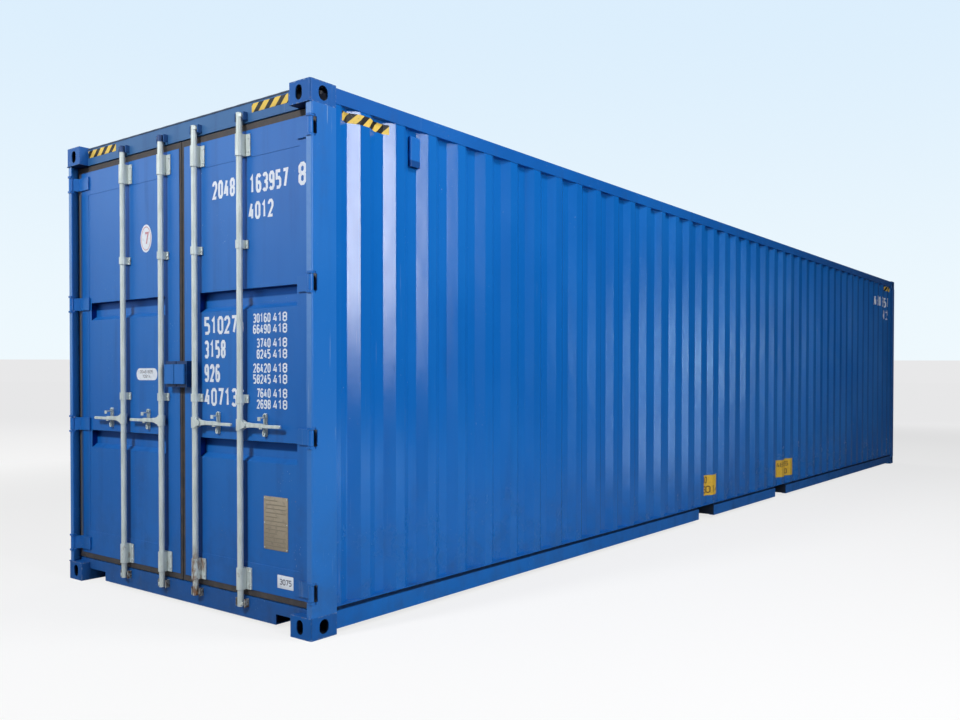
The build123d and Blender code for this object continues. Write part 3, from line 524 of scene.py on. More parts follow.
@dataclass(frozen=True)
class Zinc:
    """Dull galvanised steel with spangle, run marks and a little rust low down.

    One bar is rustier than the others, and the left door's upper bar ends are dark.
    """

    name: str
    light: Colour = tint(210, 220, 218)
    dark: Colour = tint(160, 172, 170)
    rust: Colour = tint(112, 74, 44)
    painted: Colour = tint(18, 58, 112)
    rusty_bar: float = -BARS[1]
    bar_top: float = 2.786

    def dress(self) -> bpy.types.Material:
        """Make the zinc's material.

        Returns:
            The material.
        """
        recipe = Recipe.named(self.name)
        _, y, z = recipe.axes()
        tone = recipe.noise(28.0, 4.0, (1, 1, 0.25)).rise(0.35, 0.70)
        colour = recipe.mix(tone * 0.45, self.light, self.dark)
        spangle = recipe.noise(150.0, 2.0).rise(0.55, 0.7)
        colour = recipe.mix(spangle * 0.18, colour, self.dark)
        stain = recipe.noise(38.0, 5.0, (1, 1, 0.35), 0.65)
        low = z.rise(0.42, 0.24)
        marked = y.near(self.rusty_bar, 0.085) * low
        rust = stain.rise(0.56, 0.68) * low * 0.55 + stain.rise(0.40, 0.56) * marked * 0.9
        rust = rust.low(1.0)
        colour = recipe.mix(rust, colour, self.rust)
        ends = z.rise(self.bar_top, self.bar_top + 0.008) * y.rise(0.0, 0.1)
        bump = recipe.relief(recipe.noise(260.0, 3.0), 0.0002)
        return recipe.surface(
            Base_Color=recipe.mix(ends, colour, self.painted),
            Roughness=0.42 + tone * 0.12 + rust * 0.3,
            Metallic=0.15 - rust * 0.12,
            Normal=recipe.relief(stain, 0.0006, bump),
        )


@dataclass(frozen=True)
class Rubber:
    """Dark weathered seal rubber with dust and fine lines, painted lighter at the doors' outer
    edges as painted light.
    """

    name: str
    fresh: Colour = tint(42, 40, 43)
    dusty: Colour = tint(84, 76, 72)
    gap_lit_grey: Colour = tint(96, 100, 104)

    def dress(self) -> bpy.types.Material:
        """Make the rubber's material.

        Returns:
            The material.
        """
        recipe = Recipe.named(self.name)
        _, y, z = recipe.axes()
        dust = recipe.noise(18.0, 6.0, rough=0.65).rise(0.38, 0.66)
        ends = z.rise(2.60, 2.74).high(z.rise(0.22, 0.15))
        colour = recipe.mix((dust * 0.55 + ends * 0.22).low(1.0), self.fresh, self.dusty)
        # Painted light: the rubber near the hinges is lightened where it sits in the gaps' shade.
        gap_light = abs(y).rise(1.08, 1.11) * (1.0 - ends) * 0.8
        return recipe.surface(
            Base_Color=recipe.mix(gap_light, colour, self.gap_lit_grey),
            Roughness=0.62 + dust * 0.2,
            Normal=recipe.relief(recipe.noise(300.0, 2.0, (1, 0.05, 1)), 0.0005),
        )


@dataclass(frozen=True)
class Plywood:
    """Oiled hardwood plywood boards with seams, grain and wheel marks."""

    name: str
    board_length: float = 2.40
    board_width: float = 1.155
    wheel_track: float = 0.62
    warm: Colour = tint(150, 104, 66)
    dark: Colour = tint(92, 60, 38)
    worn: Colour = tint(170, 128, 86)
    tyre: Colour = tint(48, 40, 36)
    gap: Colour = tint(28, 20, 14)

    def dress(self) -> bpy.types.Material:
        """Make the plywood's material.

        Returns:
            The material.
        """
        recipe = Recipe.named(self.name)
        x, y, _ = recipe.axes()
        grain = recipe.noise(60.0, 6.0, (0.05, 1, 1), 0.6)
        along = ((x / self.board_length + 10.0).fraction() - 0.5).near(0.5, 0.0016)
        across = abs(y).near(0.0, 0.003).high(abs(y).near(self.board_width, 0.003))
        seam = along.high(across)
        marks = recipe.noise(5.0, 4.0, (0.06, 1, 1)).rise(0.50, 0.70)
        marks = marks * abs(y).near(self.wheel_track, 0.35)
        colour = recipe.mix(grain, self.warm, self.dark)
        colour = recipe.mix(recipe.noise(0.8, 2.0).rise(0.4, 0.7) * 0.3, colour, self.worn)
        colour = recipe.mix(marks * 0.5, colour, self.tyre)
        bump = recipe.relief(grain, 0.0006)
        return recipe.surface(
            Base_Color=recipe.mix(seam, colour, self.gap),
            Roughness=0.5 + grain * 0.2,
            Normal=recipe.relief(1.0 - seam, 0.002, bump),
        )


@dataclass(frozen=True)
class Stripes:
    """Slanted black and yellow bands on a thin worn film."""

    name: str
    pitch: float
    along: int
    lean: float
    yellow: Colour = tint(224, 190, 84)
    black: Colour = tint(18, 18, 16)
    scuffed: Colour = tint(120, 116, 96)
    stained: Colour = tint(96, 82, 50)

    def dress(self) -> bpy.types.Material:
        """Make the striped film's material.

        Returns:
            The material.
        """
        recipe = Recipe.named(self.name)
        axes = recipe.axes()
        band = ((axes[self.along] + axes[2] * self.lean) / self.pitch + 100.0).fraction()
        black = band.rise(0.505, 0.525) * band.rise(1.0, 0.98)
        colour = recipe.mix(black, self.yellow, self.black)
        scuff = recipe.noise(70.0, 5.0, rough=0.65)
        colour = recipe.mix(scuff.rise(0.62, 0.68) * 0.55, colour, self.scuffed)
        stain = recipe.noise(9.0, 3.0).rise(0.5, 0.8) * 0.25
        return recipe.surface(
            Base_Color=recipe.mix(stain, colour, self.stained),
            Roughness=0.42 + scuff * 0.2,
            Specular_IOR_Level=0.3,
        )


@dataclass(frozen=True)
class Film:
    """Plain printed film or stencilled paint, a little dirty and worn."""

    name: str
    colour: Colour
    dirt: Colour
    wear: float
    roughness: float = 0.5
    metallic: float = 0.0

    def dress(self) -> bpy.types.Material:
        """Make the film's material.

        Returns:
            The material.
        """
        recipe = Recipe.named(self.name)
        blotch = recipe.noise(34.0, 5.0, rough=0.65)
        fine = recipe.noise(260.0, 3.0)
        mask = (blotch.rise(0.48, 0.70) + fine.rise(0.60, 0.72) * 0.6).low(1.0)
        return recipe.surface(
            Base_Color=recipe.mix(mask * self.wear, self.colour, self.dirt),
            Roughness=self.roughness + blotch * 0.12,
            Metallic=self.metallic,
            Normal=recipe.relief(fine, 0.0001),
        )


# --- Surfaces ---


@dataclass
class Surface:
    """Points and faces of closed shells, before they become a mesh."""

    points: np.ndarray
    quads: np.ndarray
    caps: list[np.ndarray]

    def oriented(self) -> "Surface":
        """Turn the faces outwards, by the sign of the shell's volume.

        Each face adds the volume between it and the middle: the dot product of a corner with
        the face's area vector.

        Returns:
            The same shell, with the order of each face's corners turned round if it has to be.
        """
        centred = self.points - self.points.mean(axis=0)
        corners = centred[self.quads]
        first = np.cross(corners[:, 1] - corners[:, 0], corners[:, 2] - corners[:, 0])
        second = np.cross(corners[:, 2] - corners[:, 0], corners[:, 3] - corners[:, 0])
        volume = np.einsum("ij,ij->", corners[:, 0], first + second)
        for cap in self.caps:
            fan = centred[cap]
            areas = np.cross(fan[1:-1] - fan[0], fan[2:] - fan[0])
            volume += float(areas.sum(axis=0) @ fan[0])
        if volume >= 0:
            return self
        return Surface(self.points, self.quads[:, ::-1], [cap[::-1] for cap in self.caps])

    def copies(self, places: np.ndarray) -> "Surface":
        """This shell moved to each of the places.

        Args:
            places: One row of X, Y and Z for each copy.

        Returns:
            All the copies as one surface.
        """
        shifts = np.arange(len(places)) * len(self.points)
        points = (self.points[None] + places[:, None]).reshape(-1, 3)
        quads = (self.quads[None] + shifts[:, None, None]).reshape(-1, 4)
        return Surface(points, quads, [cap + shift for shift in shifts for cap in self.caps])

    @staticmethod
    def joined(parts: Sequence["Surface"]) -> "Surface":
        """Several surfaces as one.

        Args:
            parts: The surfaces.

        Returns:
            One surface with all their points and faces.
        """
        shifts = np.cumsum([0] + [len(part.points) for part in parts[:-1]])
        return Surface(
            np.concatenate([part.points for part in parts]),
            np.concatenate([part.quads + shift for part, shift in zip(parts, shifts)]),
            [cap + shift for part, shift in zip(parts, shifts) for cap in part.caps],
        )


def loft(rings: np.ndarray, closed: bool = False) -> Surface:
    """Skin over a stack of rings.

    The surface is a grid of two parameters: the ring, and the place round it. Each face
    joins neighbouring points of two neighbouring rings, and the end rings get a cap.

    Args:
        rings: Points by ring, by place round the ring, by axis.
        closed: Whether the last ring joins the first.

    Returns:
        The closed shell, faces outwards.
    """
    count, around, _ = rings.shape
    index = np.arange(count * around).reshape(count, around)
    beside = np.roll(index, -1, axis=1)
    if closed:
        stack = [index, beside, np.roll(beside, -1, axis=0), np.roll(index, -1, axis=0)]
    else:
        stack = [index[:-1], beside[:-1], beside[1:], index[1:]]
    quads = np.stack(stack, axis=-1).reshape(-1, 4)
    caps = [] if closed else [index[0][::-1], index[-1]]
    return Surface(rings.reshape(-1, 3), quads, caps).oriented()


class Face(Protocol):
    """A face of the container that thin pieces lie on."""

    def world(
        self, across: np.ndarray, height: np.ndarray, proud: np.ndarray | float
    ) -> np.ndarray:
        """Points given by their place across, up and out of the face."""


@dataclass(frozen=True)
class Plane:
    """A flat face of the container, with its right, up and outward directions."""

    origin: Place
    right: Place
    up: Place
    out: Place

    def world(
        self, across: np.ndarray, height: np.ndarray, proud: np.ndarray | float
    ) -> np.ndarray:
        """Points given by their place across, up and out of the plane.

        Args:
            across: Distance along the right direction.
            height: Distance along the up direction.
            proud: Distance along the outward direction.

        Returns:
            The points in the container's frame.
        """
        across, height, proud = np.broadcast_arrays(across, height, proud)
        return (
            np.asarray(self.origin)
            + across[..., None] * np.asarray(self.right)
            + height[..., None] * np.asarray(self.up)
            + proud[..., None] * np.asarray(self.out)
        )


def door_plane(depth: float) -> Plane:
    """The door end's plane, set back by depth, seen from outside."""
    return Plane((REAR + depth, 0, 0), (0, -1, 0), (0, 0, 1), (-1, 0, 0))


@dataclass(frozen=True)
class WallFold:
    """The folds of the two long walls: crests between slopes, and a plain strip at each end."""

    strip_start: float = CASTING[0]
    strip_end: float = 0.215
    spare: float = 0.011
    slope: float = 0.068
    crest: float = 0.072
    pitch: float = 0.278
    crest_depth: float = 0.007
    trough_depth: float = 0.041

    def corners(self) -> tuple[np.ndarray, np.ndarray]:
        """Corners of the folds along the container, and their depth from the side.

        The crests lie at even distances, as near to the pitch as a whole number of them
        allows, and each gives four corners: the feet of its slopes and its own two ends.

        Returns:
            Places along X, and how far in from the overall width the sheet's outside is.
        """
        first = REAR + self.strip_end + 2 * self.slope + self.spare
        span = -2 * first - self.crest
        count = round(span / self.pitch)
        crests = first + np.arange(count + 1) * span / count
        shape = np.array([-self.slope, 0.0, self.crest, self.crest + self.slope])
        ends = REAR + np.array([self.strip_start, self.strip_end, self.strip_end + self.slope])
        along = np.concatenate([ends, (crests[:, None] + shape).ravel(), -ends[::-1]])
        high, deep = self.crest_depth, self.trough_depth
        folds = np.tile([deep, high, high, deep], count + 1)
        return along, np.concatenate([[high, high, deep], folds, [deep, high, high]])


@dataclass(frozen=True)
class FoldedSheet:
    """The outside of a side wall, unrolled to a plane for lettering."""

    side: int

    def world(
        self, across: np.ndarray, height: np.ndarray, proud: np.ndarray | float
    ) -> np.ndarray:
        """Points given by their place along, up and out of the wall.

        The depth at each point is read off the folds at its place along the container.

        Args:
            across: Distance from the wall's left end, seen from outside.
            height: Height over the ground.
            proud: Distance out of the sheet.

        Returns:
            The points in the container's frame.
        """
        across, height, proud = np.broadcast_arrays(across, height, proud)
        along = self.side * (LENGTH / 2 - across)
        depth = np.interp(along, *WallFold().corners())
        return np.stack([along, self.side * (SIDE - depth + proud), height], axis=-1)


def rounded_outline(width: float, height: float, radius: float, steps: int = 6) -> np.ndarray:
    """Outline of a rectangle with round corners.

    Each corner is a quarter circle of the radius about the inset corner; the four follow
    one another against the clock.

    Args:
        width: Full width.
        height: Full height.
        radius: Corner radius.
        steps: Points to a corner.

    Returns:
        Points across and up, about the middle.
    """
    turn = np.linspace(0, np.pi / 2, steps)
    angles = np.concatenate([turn + quarter * np.pi / 2 for quarter in range(4)])
    signs = np.array([(1, 1), (-1, 1), (-1, -1), (1, -1)]).repeat(steps, axis=0)
    middle = np.array([width / 2 - radius, height / 2 - radius])
    return signs * middle + radius * np.stack([np.cos(angles), np.sin(angles)], axis=-1)


def tablet(
    plane: Plane, centre: Pair, outline: np.ndarray, thickness: float, seat: float = 0.0
) -> Surface:
    """A thin plate on a plane, with its rim rolled over.

    The rings are the outline at the seat, at 0.6 of the thickness, and pulled in by 0.4 of
    the thickness at the top.

    Args:
        plane: The plane that it lies on.
        centre: Its middle, across and up.
        outline: Its outline about that middle.
        thickness: How far it stands out.
        seat: Where its back is, out of the plane.

    Returns:
        The plate.
    """
    inner = outline * (1 - 0.4 * thickness / np.abs(outline).max(axis=0))
    rings = [
        plane.world(ring[:, 0] + centre[0], ring[:, 1] + centre[1], seat + proud)
        for ring, proud in ((outline, 0.0), (outline, 0.6 * thickness), (inner, thickness))
    ]
    return loft(np.stack(rings))


def turned(plane: Plane, profile: Sequence[Pair], around: int = 10) -> Surface:
    """A shape turned about the plane's outward direction.

    Each ring is a circle whose radius and height are one point of the profile.

    Args:
        plane: The plane whose outward direction is the axis, at its origin.
        profile: Radius and height of each ring.
        around: Points to a ring.

    Returns:
        The turned shape.
    """
    angle = np.arange(around) * 2 * np.pi / around
    radius, height = np.hsplit(np.asarray(profile), 2)
    return loft(plane.world(radius * np.cos(angle), radius * np.sin(angle), height))


def rim(plane: Plane, centre: Pair, radius: float, thick: float) -> Surface:
    """A round rim on a plane.

    A circle of the thickness, centred at the radius from the middle, is carried round it.

    Args:
        plane: The plane that it lies on.
        centre: Its middle, across and up.
        radius: From the middle to the rim's own middle.
        thick: Radius of the rim's section.

    Returns:
        The rim.
    """
    turn = np.arange(18)[:, None] * np.pi / 9
    section = np.arange(6)[None] * np.pi / 3
    reach = radius + thick * np.cos(section)
    across, height = reach * np.cos(turn), reach * np.sin(turn)
    proud = thick * (0.4 + np.sin(section))
    return loft(plane.world(across + centre[0], height + centre[1], proud), closed=True)


def bead(path: np.ndarray, out: Place, radius: float, ripple: float = 0.25) -> Surface:
    """A weld bead along a line of points.

    Its section is a flattened six sided ring about the line, and its radius swells and
    shrinks from ring to ring by the ripple, like the scales of a hand laid weld.

    Args:
        path: Points along the bead.
        out: Direction that the bead stands out in.
        radius: Mean radius.
        ripple: Share of the radius that comes and goes.

    Returns:
        The bead.
    """
    ahead = np.gradient(path, axis=0)
    ahead /= np.linalg.norm(ahead, axis=1, keepdims=True)
    beside = np.cross(ahead, np.asarray(out, float))
    beside /= np.linalg.norm(beside, axis=1, keepdims=True)
    angle = np.arange(6) * np.pi / 3
    swell = radius * (1 + ripple * np.cos(np.arange(len(path)) * np.pi * 0.5))[:, None, None]
    section = np.cos(angle)[None, :, None] * beside[:, None]
    section = section + 0.7 * np.sin(angle)[None, :, None] * np.asarray(out, float)
    return loft(path[:, None] + swell * section)


def line(start: Place, end: Place, step: float) -> np.ndarray:
    """Points on a straight line, at even distances.

    Args:
        start: Its first point.
        end: Its last point.
        step: About how far apart the points are.

    Returns:
        One row of X, Y and Z for each point.
    """
    first, last = np.asarray(start, float), np.asarray(end, float)
    count = max(2, int(np.linalg.norm(last - first) / step) + 1)
    return first + np.linspace(0, 1, count)[:, None] * (last - first)


def make_piece(
    name: str,
    parts: Sequence[Surface],
    body: str,
    finish: bpy.types.Material,
    smooth: bool = True,
) -> None:
    """Turn surfaces into one object that rides on a body.

    Args:
        name: The piece's name.
        parts: Its closed shells.
        body: The CAD body that it moves with.
        finish: Its material.
        smooth: Whether its faces are shaded smooth, with sharp edges kept.
    """
    whole = Surface.joined(parts)
    mesh = bpy.data.meshes.new(name)
    faces = whole.quads.tolist() + [cap.tolist() for cap in whole.caps]
    mesh.from_pydata(whole.points.tolist(), [], faces)
    mesh.materials.append(finish)
    piece = bpy.data.objects.new(name, mesh)
    bpy.context.scene.collection.objects.link(piece)
    if smooth:
        mesh.polygons.foreach_set("use_smooth", np.ones(len(faces), bool))
        mesh.set_sharp_from_angle(angle=np.radians(38))
    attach(piece, body)
    LOG.info("%s: %d faces on %s", name, len(faces), body)


# --- Numerals ---

# Each numeral's strokes: whether it is a loop, and its corners in hundredths.
STROKES: dict[str, list[tuple[bool, list[tuple[int, int]]]]] = {
    "0": [(True, [(0, 15), (0, 85), (30, 100), (70, 100), (100, 85), (100, 15), (70, 0), (30, 0)])],
    "1": [(False, [(10, 78), (55, 100), (55, 0)])],
    "2": [
        (False, [(0, 78), (0, 88), (30, 100), (70, 100), (100, 85), (100, 62), (0, 0), (100, 0)]),
    ],
    "3": [
        (False, [(0, 88), (30, 100), (70, 100), (100, 87), (100, 63), (70, 52), (30, 52)]),
        (False, [(30, 52), (70, 52), (100, 40), (100, 13), (70, 0), (30, 0), (0, 12)]),
    ],
    "4": [(False, [(100, 25), (0, 25), (60, 100)]), (False, [(75, 62), (75, 0)])],
    "5": [
        (False, [(100, 100), (0, 100), (0, 58), (70, 58), (100, 45), (100, 13), (70, 0), (0, 0)]),
    ],
    "6": [
        (True, [(0, 14), (0, 42), (30, 55), (70, 55), (100, 42), (100, 14), (70, 0), (30, 0)]),
        (False, [(0, 30), (0, 85), (30, 100), (70, 100), (100, 87)]),
    ],
    "7": [(False, [(0, 100), (100, 100), (40, 0)])],
    "8": [
        (True, [(0, 64), (0, 88), (30, 100), (70, 100), (100, 88), (100, 64), (70, 52), (30, 52)]),
        (True, [(0, 13), (0, 40), (30, 52), (70, 52), (100, 40), (100, 13), (70, 0), (30, 0)]),
    ],
    "9": [
        (True, [(0, 58), (0, 86), (30, 100), (70, 100), (100, 86), (100, 58), (70, 45), (30, 45)]),
        (False, [(100, 70), (100, 15), (70, 0), (30, 0), (0, 13)]),
    ],
}


@dataclass(frozen=True)
class Row:
    """A line of numerals: its lower left corner across and up, its height and its spacing."""

    text: str
    corner: Pair
    height: float
    spacing: float
    depth: float = PANEL_DEPTH


@dataclass(frozen=True)
class Numerals:
    """Plain condensed numerals, drawn as strokes of one width."""

    stroke: float = 0.17
    advance: float = 0.74
    gap: float = 0.085
    thickness: float = 0.0003
    overlap: float = 0.0001

    @staticmethod
    def sides(points: np.ndarray, closed: bool, half: float) -> tuple[np.ndarray, np.ndarray]:
        """Both sides of a flat ribbon along a line.

        Each point moves left and right by half the width along the mitred normal.

        Args:
            points: The line.
            closed: Whether it is a loop.
            half: Half the ribbon's width.

        Returns:
            The left side and the right side.
        """
        if closed:
            ahead = np.roll(points, -1, axis=0) - points
            behind = points - np.roll(points, 1, axis=0)
        else:
            ahead = np.diff(points, axis=0, append=2 * points[-1:] - points[-2:-1])
            behind = np.diff(points, axis=0, prepend=2 * points[:1] - points[1:2])
        ahead /= np.linalg.norm(ahead, axis=1, keepdims=True)
        behind /= np.linalg.norm(behind, axis=1, keepdims=True)
        along = ahead + behind
        along /= np.linalg.norm(along, axis=1, keepdims=True)
        normal = np.stack([-along[:, 1], along[:, 0]], axis=-1)
        stretch = 1 / np.maximum(np.einsum("ij,ij->i", along, ahead), 0.6)
        reach = normal * (half * stretch)[:, None]
        return points + reach, points - reach

    @staticmethod
    def refined(points: np.ndarray, closed: bool, step: float) -> np.ndarray:
        """A line with more points between its corners.

        Points are laid off along the line's length at even distances, beside its corners.

        Args:
            points: The line's corners.
            closed: Whether it is a loop.
            step: Largest distance between two points.

        Returns:
            The finer line.
        """
        loop = np.concatenate([points, points[:1]]) if closed else points
        lengths = np.linalg.norm(np.diff(loop, axis=0), axis=1)
        reach = np.concatenate([[0.0], np.cumsum(lengths)])
        spots = np.union1d(reach, np.arange(0.0, reach[-1], step))
        fine = np.stack([np.interp(spots, reach, loop[:, axis]) for axis in (0, 1)], axis=-1)
        keep = np.linalg.norm(np.diff(fine, axis=0), axis=1) > 1e-4
        fine = fine[np.concatenate([[True], keep])]
        return fine[:-1] if closed else fine

    def write(self, row: Row, face: Face, seat: float = 0.0, step: float = 0.0) -> list[Surface]:
        """Shells of a line of numerals.

        Args:
            row: The numerals.
            face: The face that they are painted on.
            seat: Where their back is, out of the face.
            step: Largest distance between two points of a stroke; 0 leaves its corners only.

        Returns:
            One shell for each stroke.
        """
        shells = []
        half = self.stroke / 2
        span = self.advance * row.spacing - self.stroke - self.gap
        for place, sign in enumerate(row.text):
            start = row.corner[0] + place * self.advance * row.spacing * row.height
            for order, (closed, corners) in enumerate(STROKES[sign]):
                points = half + np.array(corners) / 100 * (span, 1 - 2 * half)
                if step:
                    points = self.refined(points, closed, step / row.height)
                left, right = self.sides(points, closed, half)
                top = seat + self.thickness + self.overlap * order
                rings = [
                    face.world(
                        start + side[:, 0] * row.height,
                        row.corner[1] + side[:, 1] * row.height,
                        proud,
                    )
                    for side, proud in ((left, seat), (right, seat), (right, top), (left, top))
                ]
                shells.append(loft(np.stack(rings, axis=1), closed))
        return shells


# --- Sub-assemblies ---


@dataclass
class RightDoorMarks:
    """Numbers, the data plate and the small label on the right door."""

    finishes: dict[str, bpy.types.Material]
    film: float = 0.0004
    titles: tuple[Row, ...] = (
        Row("2048", (0.301, 2.388), 0.105, 0.70),
        Row("163957", (0.640, 2.380), 0.105, 0.72),
        Row("8", (1.052, 2.374), 0.122, 0.80, LEAF_DEPTH),
        Row("4012", (0.633, 2.236), 0.098, 0.76),
    )
    weights: tuple[tuple[str, float], ...] = (
        ("510274", 0.82),
        ("3158", 0.68),
        ("926", 0.68),
        ("407136", 0.82),
    )
    amounts: tuple[str, ...] = ("30160", "66490", "3740", "8245", "26420", "58245", "7640", "2698")
    unit: str = "418"
    table_corner: Pair = (0.219, 1.611)
    table_pitch: float = 0.138
    weight_height: float = 0.104
    amount_height: float = 0.052
    amount_pitch: float = 0.061
    amount_right: float = 0.822
    unit_left: float = 0.838
    plate_centre: Pair = (0.859, 0.5665)
    plate_size: Pair = (0.202, 0.291)
    plate_thickness: float = 0.0022
    # The highest row, the lowest one, and how many there are.
    plate_rows: tuple[float, float, int] = (0.690, 0.443, 12)
    row_lengths: Pair = (0.17, 0.10)
    # Places of the plate's rivets, across and up.
    rivets: tuple[Pair, tuple[float, ...]] = ((0.766, 0.952), (0.430, 0.5665, 0.703))
    label_centre: Pair = (0.9385, 0.256)
    label_size: Pair = (0.131, 0.072)
    label_row: Row = Row("3075", (0.892, 0.240), 0.032, 1.05)

    def numbers(self) -> None:
        """The stencilled numbers: titles at the top and a table at eye level."""
        write = Numerals().write
        shells = []
        for row in self.titles:
            shells += write(row, door_plane(row.depth))
        plane = door_plane(PANEL_DEPTH)
        small = self.amount_height
        for place, (text, spacing) in enumerate(self.weights):
            left, base = self.table_corner[0], self.table_corner[1] - place * self.table_pitch
            shells += write(Row(text, (left, base), self.weight_height, spacing), plane)
            for half, amount in enumerate(self.amounts[2 * place : 2 * place + 2]):
                level = base - 0.008 + (1 - half) * self.amount_pitch
                start = self.amount_right - len(amount) * Numerals.advance * 0.80 * small
                shells += write(Row(amount, (start, level), small, 0.80), plane)
                shells += write(Row(self.unit, (self.unit_left, level), small, 1.05), plane)
        white = self.finishes["white"]
        make_piece("door_numbers", shells, "right_door", white, False)

    def data_plate(self) -> None:
        """The riveted plate, with blank rows in place of its text."""
        plane = door_plane(PANEL_DEPTH)
        body, slot = "right_door", "lock_gear_zinc"
        outline = rounded_outline(*self.plate_size, 0.006)
        plate = tablet(plane, self.plate_centre, outline, self.plate_thickness)
        make_piece("data_plate", [plate], body, self.finishes["plate"])
        rows = []
        full, short = self.row_lengths
        for row, level in enumerate(np.linspace(*self.plate_rows)):
            length = full if row % 4 else short
            centre = (self.plate_centre[0] - (full - length) / 2, level)
            outline = rounded_outline(length, 0.0065, 0.002, 3)
            rows.append(tablet(plane, centre, outline, 0.0005, self.plate_thickness - 0.0001))
        make_piece("data_plate_rows", rows, body, self.finishes["plate_rows"])
        rivet = turned(plane, ((0.004, 0.0), (0.0038, 0.0015), (0.002, 0.0026)))
        places = np.array([(-0.002, -y, z) for y in self.rivets[0] for z in self.rivets[1]])
        rivets = [rivet.copies(places)]
        make_piece("data_plate_rivets", rivets, body, self.finishes["zinc"])

    def small_label(self) -> None:
        """The white label low on the stile."""
        stile = door_plane(LEAF_DEPTH)
        outline = rounded_outline(*self.label_size, 0.004)
        label = tablet(stile, self.label_centre, outline, self.film)
        make_piece("small_label", [label], "right_door", self.finishes["white"])
        shells = Numerals().write(self.label_row, stile, self.film)
        black = self.finishes["black"]
        make_piece("small_label_numbers", shells, "right_door", black, False)

    def build(self) -> None:
        """Make all of the right door's markings."""
        self.numbers()
        self.data_plate()
        self.small_label()


@dataclass
class LeftDoorMarks:
    """The oval film and the round ended label on the left door."""

    finishes: dict[str, bpy.types.Material]
    film: float = 0.0004
    oval_centre: Pair = (-0.384, 2.230)
    oval_size: Pair = (0.061, 0.087)
    oval_ring: Pair = (0.86, 0.80)
    oval_row: Row = Row("7", (-0.400, 2.190), 0.080, 0.9)
    label_centre: Pair = (-0.382, 1.3815)
    label_size: tuple[float, float, float] = (0.228, 0.075, 0.034)
    label_rows: tuple[Row, ...] = (
        Row("20461835", (-0.460, 1.387), 0.020, 1.25),
        Row("70914", (-0.432, 1.358), 0.020, 1.25),
    )

    def make(self, name: str, shells: list[Surface], finish: str, smooth: bool = True) -> None:
        """Make one piece of the left door."""
        make_piece(name, shells, "left_door", self.finishes[finish], smooth)

    def oval_film(self) -> None:
        """The oval film with its printed ring and numeral.

        The ring is lofted round the oval through a square section between its two outlines.
        """
        plane = door_plane(PANEL_DEPTH)
        angle = np.linspace(0, 2 * np.pi, 48, endpoint=False)
        oval = np.stack([np.cos(angle), np.sin(angle)], axis=-1) * self.oval_size
        self.make("oval_film", [tablet(plane, self.oval_centre, oval, self.film)], "white")
        outer, inner = [oval * share + self.oval_centre for share in self.oval_ring]
        low, high = self.film, 2 * self.film
        loops = [
            plane.world(*outline.T, proud)
            for outline, proud in ((outer, low), (inner, low), (inner, high), (outer, high))
        ]
        ring = loft(np.stack(loops, axis=1), closed=True)
        numeral = Numerals().write(self.oval_row, plane, self.film)
        self.make("oval_film_print", [ring] + numeral, "red", False)

    def round_label(self) -> None:
        """The round ended label with two rows of plain figures."""
        plane = door_plane(PANEL_DEPTH)
        label = tablet(plane, self.label_centre, rounded_outline(*self.label_size), self.film)
        self.make("round_ended_label", [label], "white")
        write = Numerals().write
        shells = [shell for row in self.label_rows for shell in write(row, plane, self.film)]
        self.make("round_ended_label_numbers", shells, "grey", False)

    def build(self) -> None:
        """Make all of the left door's markings."""
        self.oval_film()
        self.round_label()


